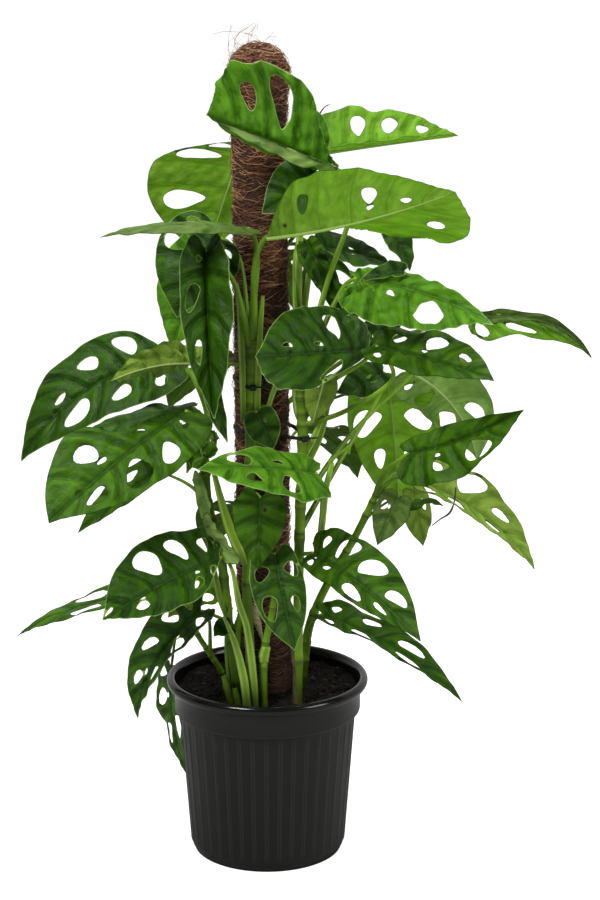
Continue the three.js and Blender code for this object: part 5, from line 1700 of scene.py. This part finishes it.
@dataclass
class Pot:
    """The nursery pot: rolled rim, smooth band, shallow flutes, and a set-in foot.

    Foot and shoulder are the radius and height at the fluted wall's ends. Bead is the radius and height
    of the roll's middle, then half its width and height. Ridge is a place and a reach in one flute, where
    a painted highlight runs.
    """

    flutes: int = 40
    steps_per_flute: int = 10
    flute_depth: float = 1.0
    flute_bottom: float = 12.0
    flute_top: float = 173.2
    groove_reach: float = 0.09
    ridge: tuple[float, float] = (0.07, 0.03)
    foot: tuple[float, float] = (93.5, 13.0)
    shoulder: tuple[float, float] = (105.4, 172.0)
    bead: tuple[float, float, float, float] = (114.8, 211.0, 5.2, 6.0)

    def profile(self) -> list[tuple[float, float]]:
        """Draw the pot's section, from the underside's middle round the wall to the floor."""
        centre, height, across, up = self.bead
        bead = [(centre + across * math.cos(a), height + up * math.sin(a))
                for a in np.radians(np.linspace(-105, 165, 19))]
        (low, bottom), (wide, top) = self.foot, self.shoulder
        body = [(low + (wide - low) * x, bottom + (top - bottom) * x) for x in np.linspace(0, 1, 22)]
        return [(0, 2.4), (60, 2.4), (81.5, 2.2), (83, 0.4), (84.2, 0), (87.6, 0), (88.8, 0.7),
                (89.3, 2.2), (90, 8.6), (90.4, 9.8), (92.4, 10.6), (93.2, 11.4), *body,
                (105.6, 173.4), (106.2, 174.4), (109.4, 175.2), (110.6, 175.9), (111, 177.2),
                (111.2, 190), (111.3, 201.5), (111.8, 203.6), (112.6, 204.7), *bead,
                (108.6, 210.5), (108.4, 208), (108.3, 182), (107.6, 178), (103.4, 173.5),
                (103, 170), (91.2, 6), (89.6, 4.2), (86, 3.8), (0, 3.8)]

    def build(self, material: Material) -> Object:
        """Turn the pot, press its flutes, and dress it.

        Args:
            material: The moulded plastic.

        Returns:
            The finished piece.
        """
        shell = lathe(self.profile(), self.flutes * self.steps_per_flute)
        x, y, z = shell.points.T
        radius = np.hypot(x, y)
        share = (np.arctan2(y, x) / (2 * math.pi) * self.flutes) % 1
        to_groove = np.minimum(share, 1 - share)
        scallop = 1 - bell(to_groove, self.groove_reach) * (0.6 + 0.4 * (share < 0.5))
        lower = np.clip((z - self.flute_bottom) / 7, 0, 1)
        upper = np.clip((self.flute_top - z) / 4, 0, 1)
        outside = radius > 92.6 + (z - self.flute_bottom) / 160 * 11.4
        depth = self.flute_depth * scallop * lower * upper * outside
        shell.points[:, :2] *= (1 - depth / np.maximum(radius, 1))[:, None]
        # The ridge in each flute and the band's lower edge carry painted highlights.
        ridge = bell(to_groove - self.ridge[0], self.ridge[1]) * lower * upper * outside
        shell.values["height"] = z.copy()
        shell.values["edge_highlight"] = np.maximum(ridge, bell(z - 175.4, 0.7) * (radius > 107))
        return settle(shell.to_object("nursery_pot", material, sharp=70), "pot", "pot")


@dataclass
class Soil:
    """The potting mix: an uneven surface, with crumbs and bits of bark on it."""

    radius: float = 107.6
    surface: float = 202.0
    bottom: float = 182.0
    rings: int = 44
    sides: int = 150
    seed: int = 7

    def height(self, x: np.ndarray, y: np.ndarray) -> np.ndarray:
        """Tell how high the surface lies.

        Args:
            x: Places across.
            y: Places in depth.

        Returns:
            Heights in millimetres.
        """
        r = np.hypot(x, y)
        level = self.surface - 4 * bell(r - 78, 22) - 1.6 * bell(r, 50)
        random = np.random.default_rng(self.seed)
        for scale, size in ((0.045, 1.5), (0.11, 0.9), (0.27, 0.55)):
            for _ in range(4):
                turn, shift = random.uniform(0, 2 * math.pi, 2)
                level = level + size * 0.6 * np.sin(
                    scale * (x * math.cos(turn) + y * math.sin(turn)) * 2 + shift)
        return np.minimum(level, 206.0)

    def build(self, mix: Material, litter: Material) -> None:
        """Make the surface and what lies on it.

        Args:
            mix: The damp mix.
            litter: The loose fibre.
        """
        reach = np.linspace(0.4, self.radius, self.rings)
        angle = turns(self.sides)
        x, y = (reach[:, None] * np.cos(angle)).ravel(), (reach[:, None] * np.sin(angle)).ravel()
        top = np.stack([x, y, self.height(x, y)], 1)
        rim = top[-self.sides:] * (1, 1, 0) + (0, 0, self.bottom)
        n, rows = self.sides, self.rings
        faces = [(r * n + j, (r + 1) * n + j, (r + 1) * n + (j + 1) % n, r * n + (j + 1) % n)
                 for r in range(rows) for j in range(n)]
        faces += [tuple(range(n)), tuple(range(rows * n, rows * n + n))[::-1]]
        shell = Shell(np.vstack([top, rim]), faces)
        settle(shell.to_object("soil_surface", mix, sharp=60), "soil", "soil")
        bed = Shell(top, faces[:(rows - 1) * n])
        tree = litter_tree()
        crumbs = grown("soil_crumbs", bed, tree, {
            "Density": 62000.0, "Smallest": 0.0007, "Largest": 0.0026, "Flatness": 0.75, "Seed": 3,
            "Material": mix})
        settle(crumbs, "soil")
        bark = grown("soil_bark", bed, tree, {
            "Density": 5200.0, "Smallest": 0.0016, "Largest": 0.0052, "Flatness": 0.4, "Seed": 11,
            "Material": litter})
        shade = bark.data.attributes.get("shade")
        if shade is not None:
            values = np.full(len(bark.data.vertices), 0.1, np.float32)
            shade.data.foreach_set("value", values)
        settle(bark, "soil")


def litter_tree() -> NodeTree:
    """Build the tree that scatters crumbs over a surface.

    Returns:
        A tree with inputs for density, size, flatness, seed and material.
    """
    tree, w, get, out = new_tree("Scattered crumbs", {
        "Density": ("value", 10000.0), "Smallest": ("length", 0.001), "Largest": ("length", 0.003),
        "Flatness": ("value", 0.7), "Seed": ("count", 1), "Material": ("material", None)})
    spots = w.node("GeometryNodeDistributePointsOnFaces", {
        "Mesh": get["Geometry"], "Density": get["Density"], "Seed": get["Seed"]})
    lump = w.node("GeometryNodeMeshIcoSphere", {"Radius": 1.0, "Subdivisions": 1})
    size = random_value(w, 0.0, 1.0, 21)
    size = w.math("POWER", size, 2.2)
    span = w.minus(get["Largest"], get["Smallest"])
    size = w.plus(get["Smallest"], w.times(size, span))
    flat = w.xyz(size, w.times(size, random_value(w, 0.45, 1.0, 5)), w.times(size, get["Flatness"]))
    turn = w.xyz(random_value(w, -0.6, 0.6, 7), random_value(w, -0.6, 0.6, 8),
                 random_value(w, 0.0, 6.283, 9))
    placed = w.node("GeometryNodeInstanceOnPoints", {
        "Points": spots.outputs["Points"], "Instance": lump.outputs["Mesh"],
        "Rotation": turn, "Scale": flat})
    shaded = marked(w, placed.outputs["Instances"], "shade", 13)
    real = w.node("GeometryNodeRealizeInstances", {"Geometry": shaded})
    rough = w.node("ShaderNodeTexNoise", {
        "Vector": w.node("GeometryNodeInputPosition").outputs[0], "Scale": 420.0})
    nudge = w.node("ShaderNodeVectorMath", {0: rough.outputs["Color"], 1: (0.5, 0.5, 0.5)},
                   operation="SUBTRACT")
    nudge = w.node("ShaderNodeVectorMath", {0: nudge.outputs[0], "Scale": 0.0022}, operation="SCALE")
    moved = w.node("GeometryNodeSetPosition", {
        "Geometry": real.outputs["Geometry"], "Offset": nudge.outputs[0]})
    close_tree(w, moved.outputs["Geometry"], get["Material"], out)
    return tree


# ---------------------------------------------------------------------------- coir pole and ties

@dataclass
class CoirPole:
    """The moss pole: a packed core, strands wound round it, and loose hairs that stand off.

    Lean is how far to the right its axis stands at no height, and how much further at each millimetre
    up. Core_swell is how much thicker the head gets, from which height, and over how many millimetres.
    """

    bottom: float = 190.0
    shoulder: float = 930.0
    top: float = 957.0
    radius: float = 30.2
    lean: tuple[float, float] = (-2.0, -0.0062)
    core_sides: int = 48
    core_step: float = 6.0
    core_swell: tuple[float, float, float] = (4.0, 880.0, 45.0)

    def axis(self, z: np.ndarray | float) -> np.ndarray | float:
        """Tell where the middle of the pole stands at a height."""
        return self.lean[0] + self.lean[1] * z

    def core(self) -> Shell:
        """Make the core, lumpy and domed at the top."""
        heights = np.concatenate([np.arange(self.bottom, self.shoulder, self.core_step),
                                  self.shoulder + (self.top - self.shoulder)
                                  * np.sin(np.linspace(0, math.pi / 2, 9)[:-1])])
        sides, (most, low, over) = self.core_sides, self.core_swell
        angle = turns(sides)
        rings = []
        for z in heights:
            dome = math.sqrt(max(0.02, 1 - (max(0.0, z - self.shoulder) / (self.top - self.shoulder)) ** 2))
            lump = 0.9 * np.sin(z * 0.061 + 2 * angle) + 0.7 * np.sin(z * 0.13 - 3 * angle)
            swell = most * min(max((z - low) / over, 0), 1)
            reach = (self.radius + lump + swell) * dome
            rings.append(np.stack([self.axis(z) + reach * np.cos(angle), reach * np.sin(angle),
                                   np.full(sides, z)], 1))
        ends = np.array([(self.axis(self.bottom), 0, self.bottom), (self.axis(self.top), 0, self.top)])
        return Shell(np.vstack([*rings, ends]), ring_faces(len(rings), sides))

    def build(self, packed: Material, strands: Material) -> None:
        """Make the core and grow its fibre.

        Args:
            packed: The packed fibre of the core.
            strands: The loose fibre.
        """
        settle(self.core().to_object("pole_core", packed), "coir", "coir_pole")
        tree = self.fibre_tree()
        growths = {
            "pole_fibre_a": {"Density": 26000.0, "Shortest": 0.03, "Longest": 0.085, "Seed": 5,
                             "Thickness": 0.00034, "Spread": 0.4},
            "pole_fibre_b": {"Density": 26000.0, "Shortest": 0.02, "Longest": 0.06, "Seed": 31,
                             "Thickness": 0.00028, "Arch": 0.0045, "Spread": 0.7},
            "pole_hairs": {"Density": 1700.0, "Shortest": 0.02, "Longest": 0.055, "Seed": 77,
                           "Thickness": 0.00017, "Stand Out": 0.012, "Spread": 1.5},
            "pole_crest": {"Density": 4600.0, "Shortest": 0.02, "Longest": 0.06, "Seed": 12,
                           "Thickness": 0.00022, "Stand Out": 0.03, "Spread": 1.5,
                           "Arch": 0.008, "Lowest": 0.955, "Window": 0.6, "Turn": 3.4},
            "pole_beard": {"Density": 15000.0, "Shortest": 0.012, "Longest": 0.032, "Seed": 9,
                           "Thickness": 0.00016, "Stand Out": 0.009, "Spread": 1.5, "Arch": 0.008,
                           "Lowest": 0.47, "Highest": 0.68, "Window": 0.13, "Turn": 3.25},
        }
        for name, values in growths.items():
            settle(grown(name, None, tree, {**values, "Material": strands}), "coir")

    def fibre_tree(self) -> NodeTree:
        """Build the tree that winds strands round the pole.

        It lays the strands on an unrolled sheet, then wraps the sheet round the leaning, domed pole.

        Returns:
            A tree with inputs for how many, long, thick, arched and loose the strands are.
        """
        tree, w, get, out = new_tree("Wound fibre", {
            "Density": ("value", 9000.0), "Shortest": ("length", 0.03), "Longest": ("length", 0.09),
            "Thickness": ("length", 0.00042), "Arch": ("length", 0.003),
            "Stand Out": ("length", 0.0), "Spread": ("value", 1.0), "Lowest": ("value", 0.0),
            "Highest": ("value", 1.0), "Window": ("value", 1.0), "Turn": ("value", 0.0),
            "Seed": ("count", 1), "Material": ("material", None)})
        radius, height = self.radius * MM, (self.top - self.shoulder) * MM
        straight = (self.shoulder - self.bottom) * MM
        dome = 0.5 * math.pi * 0.5 * (radius + height)
        long = straight + dome
        sheet = w.node("GeometryNodeMeshGrid", {
            "Size X": w.times(get["Window"], 2 * math.pi * radius),
            "Size Y": w.times(w.minus(get["Highest"], get["Lowest"]), long),
            "Vertices X": 2, "Vertices Y": 2})
        middle = w.times(w.plus(get["Highest"], get["Lowest"]), 0.5 * long)
        shifted = w.node("GeometryNodeTransform", {
            "Geometry": sheet.outputs["Mesh"], "Translation": w.xyz(w.times(get["Turn"], radius), middle)})
        spots = w.node("GeometryNodeDistributePointsOnFaces", {
            "Mesh": shifted.outputs["Geometry"], "Density": get["Density"], "Seed": get["Seed"]})
        strand = w.node("GeometryNodeCurveQuadraticBezier", {
            "Resolution": 6, "Start": (-0.5, 0.0, 0.0), "Middle": (0.0, 0.16, 0.0),
            "End": (0.5, 0.0, 0.0)})
        lean = w.times(w.math("POWER", random_value(w, 0.0, 1.0, 41), 1.3), get["Spread"])
        sign = w.math("SIGN", random_value(w, -1.0, 1.0, 42))
        flip = w.times(w.math("ROUND", random_value(w, 0.0, 1.0, 40)), math.pi)
        turn = w.xyz(flip, z=w.times(lean, sign))
        size = random_value(w, get["Shortest"], get["Longest"], 43)
        placed = w.node("GeometryNodeInstanceOnPoints", {
            "Points": spots.outputs["Points"], "Instance": strand.outputs["Curve"],
            "Rotation": turn, "Scale": size})
        loose = marked(w, marked(w, placed.outputs["Instances"], "shade", 44), "loose", 45)
        real = w.node("GeometryNodeRealizeInstances", {"Geometry": loose})
        share = w.node("GeometryNodeSplineParameter").outputs["Factor"]
        chance = w.node("GeometryNodeInputNamedAttribute", {"Name": "loose"},
                        data_type="FLOAT").outputs["Attribute"]
        place = w.node("GeometryNodeInputPosition").outputs[0]
        wander = w.node("ShaderNodeTexNoise", {"Vector": place, "Scale": 45.0, "Detail": 1.0})
        drift = w.node("ShaderNodeSeparateXYZ", {0: wander.outputs["Color"]})
        spot = w.node("ShaderNodeSeparateXYZ", {0: place})
        hump = w.times(w.times(share, w.minus(1.0, share)), 4.0)
        lift = w.times(w.times(hump, get["Arch"]), chance)
        off = w.times(w.times(w.math("POWER", share, 1.6), get["Stand Out"]), w.plus(chance, 0.3))
        crown = w.ranged(spot.outputs["Y"], 0.93 * straight, straight, high=0.0046, smooth=True)
        lift = w.plus(w.plus(w.plus(lift, off), crown), -0.0006)
        lift = w.plus(lift, w.times(w.minus(drift.outputs[2], 0.5), 0.003))
        swing = w.times(w.minus(drift.outputs[0], 0.5), 0.016)
        rise = w.times(w.minus(drift.outputs[1], 0.5), 0.016)
        level = w.plus(spot.outputs["Y"], rise)
        over = w.math("DIVIDE", w.minus(level, straight), dome)
        angle = w.times(w.math("MINIMUM", w.most(over, 0.0), 1.0), math.pi / 2)
        ring = w.times(w.plus(lift, radius), w.math("COSINE", angle))
        up = w.plus(w.math("MINIMUM", w.most(level, 0.004), straight),
                    w.times(w.plus(lift, height), w.math("SINE", angle)))
        up = w.plus(up, self.bottom * MM)
        round_it = w.math("DIVIDE", w.plus(spot.outputs["X"], swing), radius)
        centre = w.plus(w.times(up, self.lean[1]), self.lean[0] * MM)
        x = w.plus(centre, w.times(ring, w.math("COSINE", round_it)))
        y = w.times(ring, w.math("SINE", round_it))
        wrapped = w.node("GeometryNodeSetPosition", {
            "Geometry": real.outputs["Geometry"],
            "Position": w.xyz(x, y, up)})
        section = w.node("GeometryNodeCurvePrimitiveCircle", {"Resolution": 3, "Radius": get["Thickness"]})
        solid = w.node("GeometryNodeCurveToMesh", {
            "Curve": wrapped.outputs["Geometry"], "Profile Curve": section.outputs["Curve"],
            "Fill Caps": True})
        close_tree(w, solid.outputs["Mesh"], get["Material"], out)
        return tree


@dataclass
class Tie:
    """A cable tie round the pole and one stem: the strap, its head, and its cut tail.

    The gaps are how far the strap stands off the pole and the stem, and head holds its half sizes.
    """

    name: str
    height: float
    holds: str
    band: float = 4.0
    thickness: float = 1.3
    pole_gap: float = 2.2
    stem_gap: float = 0.6
    head: tuple[float, float, float] = (3.4, 2.3, 3.1)
    tail_steps: int = 8
    tail_radius: float = 1.0

    def loop(self, pole: CoirPole) -> np.ndarray:
        """Find the line that a strap takes round the pole and the stem.

        Args:
            pole: The pole.

        Returns:
            The corners of the loop, in order, at the strap's inner side.
        """
        stem = STEMS[self.holds]
        samples = through(np.array(stem.path, float), np.linspace(0, 1, 200))
        near = int(np.argmin(np.abs(samples[:, 2] - self.height)))
        thin, thick = stem.radius
        reach = thin + (thick - thin) * near / (len(samples) - 1) + self.stem_gap
        angle = turns(72)
        circle = np.stack([np.cos(angle), np.sin(angle)], 1)
        spots = np.vstack([circle * (pole.radius + self.pole_gap) + (pole.axis(self.height), 0),
                           circle * reach + samples[near, :2]])
        centre = spots.mean(0)
        turn = turns(120)
        ways = np.stack([np.cos(turn), np.sin(turn)], 1)
        far = (spots - centre) @ ways.T
        support = far.max(0)
        step = turn[1] - turn[0]
        slope = (np.roll(support, -1) - np.roll(support, 1)) / (2 * step)
        return centre + ways * support[:, None] + np.stack([-ways[:, 1], ways[:, 0]], 1) * slope[:, None]

    def build(self, pole: CoirPole, material: Material) -> Object:
        """Make the tie.

        Args:
            pole: The pole that it holds.
            material: The strap plastic.

        Returns:
            The finished piece.
        """
        inner = self.loop(pole)
        outward = unit(np.stack([np.roll(inner[:, 1], -1) - np.roll(inner[:, 1], 1),
                                 np.roll(inner[:, 0], 1) - np.roll(inner[:, 0], -1)], 1))
        half, thick = self.band / 2, self.thickness
        section = [(0.2, -half), (thick - 0.3, -half), (thick, -half + 0.3), (thick, half - 0.3),
                   (thick - 0.3, half), (0.2, half), (0, half - 0.2), (0, -half + 0.2)]
        corners = len(section)
        points = np.concatenate([np.concatenate([
            inner + outward * out_by, np.full((len(inner), 1), self.height + up)], 1)[:, None]
            for out_by, up in section], 1).reshape(-1, 3)
        count = len(inner)
        faces = [(i * corners + k, ((i + 1) % count) * corners + k,
                  ((i + 1) % count) * corners + (k + 1) % corners, i * corners + (k + 1) % corners)
                 for i in range(count) for k in range(corners)]
        strap = Shell(points, faces)
        spot = int(np.argmin(inner @ np.array([-0.25, 1.0])))
        middle = np.append(inner[spot] + outward[spot] * (thick + 1.2), self.height)
        along = np.append(unit(inner[(spot + 1) % count] - inner[spot - 1]), 0.0)
        away = np.append(outward[spot], 0.0)
        long, deep, high = self.head
        head = self.block(middle, along * long, away * deep, np.array([0, 0, high]))
        path = np.array([middle + along * 3 + away * k * 0.55 + along * k * 1.6 + (0, 0, 0.25 * k)
                         for k in range(self.tail_steps)])
        tail = tube(path, np.full(self.tail_steps, self.tail_radius), 6, np.array([0, 0, 1.0]))
        tail.values = {}
        piece = Shell.joined([strap, head, tail]).to_object(self.name + "_strap", material, sharp=35)
        return settle(piece, "tie", self.name)

    @staticmethod
    def block(middle: np.ndarray, a: np.ndarray, b: np.ndarray, c: np.ndarray) -> Shell:
        """Make a block with cut corners, from its middle and its three half axes."""
        corners = []
        for i in (-1, 1):
            for j, k in ((-1, -0.6), (-0.6, -1), (0.6, -1), (1, -0.6), (1, 0.6), (0.6, 1), (-0.6, 1),
                         (-1, 0.6)):
                corners.append(middle + a * i + b * j + c * k)
        faces = [tuple(range(7, -1, -1)), tuple(range(8, 16))]
        faces += [(k, (k + 1) % 8, (k + 1) % 8 + 8, k + 8) for k in range(8)]
        if np.dot(np.cross(b, c), a) < 0:
            faces = [face[::-1] for face in faces]
        return Shell(np.array(corners), faces)


# ---------------------------------------------------------------------------- the studio

@dataclass
class Studio:
    """The pale floor, the soft light, and the camera."""

    floor_reach: float = 40.0
    camera_place: Point = (0.039, -2.699, 1.1674)
    camera_pitch: float = 75.96
    lens: float = 95.27

    def build(self, finish: Material) -> None:
        """Set up the studio.

        Args:
            finish: The floor's finish.
        """
        reach = self.floor_reach / MM
        corners = np.array([(-reach, -reach, 0), (reach, -reach, 0), (reach, reach, 0),
                            (-reach, reach, 0)], float)
        floor = Shell(corners, [(0, 1, 2, 3)]).to_object("studio_floor", finish)
        self.lights()
        lens = bpy.data.cameras.new("studio_camera")
        lens.lens = self.lens
        lens.sensor_width = 36.0
        lens.sensor_fit = "AUTO"
        lens.clip_end = 200.0
        camera = link(bpy.data.objects.new("studio_camera", lens))
        camera.location = self.camera_place
        camera.rotation_euler = (math.radians(self.camera_pitch), 0, 0)
        bpy.context.scene.camera = camera

    def lights(self) -> None:
        """Hang the soft boxes, and light the room softly from behind as a white sweep does."""
        scene = bpy.context.scene
        world = bpy.data.worlds.new("studio_room")
        world.use_nodes = True
        w = Wiring(world.node_tree)
        sky = next(n for n in world.node_tree.nodes if n.type == "BACKGROUND")
        way = w.node("ShaderNodeSeparateXYZ", {0: w.node("ShaderNodeTexCoord").outputs["Generated"]})
        sweep = w.ranged(way.outputs["Y"], -0.35, 0.75, 0.12, 0.7, smooth=True)
        seen = w.node("ShaderNodeLightPath").outputs["Is Camera Ray"]
        w.feed(sky, {"Strength": w.most(sweep, seen), "Color": (1.0, 1.0, 1.0)})
        scene.world = world
        scene.view_settings.view_transform = "Standard"
        boxes = (
            ("key_box", (-1.3, -1.7, 2.5), (0.0, 0.0, 0.6), 0.9, 72.0),
            ("fill_box", (2.2, -1.3, 1.5), (0.0, 0.0, 0.5), 1.1, 34.0),
            ("top_box", (0.2, 0.2, 2.9), (0.0, 0.0, 0.6), 1.1, 44.0),
        )
        for name, place, aim, size, power in boxes:
            lamp = bpy.data.lights.new(name, "AREA")
            lamp.shape = "SQUARE"
            lamp.size = size
            lamp.energy = power
            box = link(bpy.data.objects.new(name, lamp))
            box.location = place
            box.rotation_euler = (Vector(aim) - Vector(place)).to_track_quat("-Z", "Y").to_euler()


# ---------------------------------------------------------------------------- the whole plant


def main() -> None:
    """Build the plant, its pot and the studio."""
    logging.basicConfig(level=logging.INFO, format="%(message)s")
    finishes = Finishes()
    Studio().build(finishes.floor())
    coir = finishes.fibre("coir_strands", (0.035, 0.011, 0.004), (0.26, 0.085, 0.03), (0.95, 0.52, 0.26))
    litter = finishes.fibre("soil_litter", (0.012, 0.007, 0.004), (0.05, 0.03, 0.018), (0.14, 0.09, 0.05))
    Pot().build(finishes.pot())
    Soil().build(finishes.plain("potting_mix"), litter)
    pole = CoirPole()
    pole.build(finishes.mat_core(), coir)
    strap = finishes.plain("tie_plastic")
    Tie("tie_upper", 580.0, "front").build(pole, strap)
    Tie("tie_lower", 521.0, "right").build(pole, strap)
    skin = finishes.stem()
    shoots = ShootBuilder()
    for name in STEMS:
        shoots.build(name, skin)
    bare = {"root": finishes.root(), "dry": finishes.plain("dry_husk"), "shoot": skin, "stalk": skin}
    for name, form in TRIMMINGS.items():
        shoots.trimming(name, form, bare[form.kind])
    tissues = {tone: finishes.leaf(tone) for tone in Tone}
    leaves = LeafBuilder()
    for name, blade in {**BLADES, **REMNANTS}.items():
        leaves.build(name, blade, tissues[blade.tone])
    LOG.info("built %d leaves", len(BLADES))


if __name__ == "__main__":
    main()
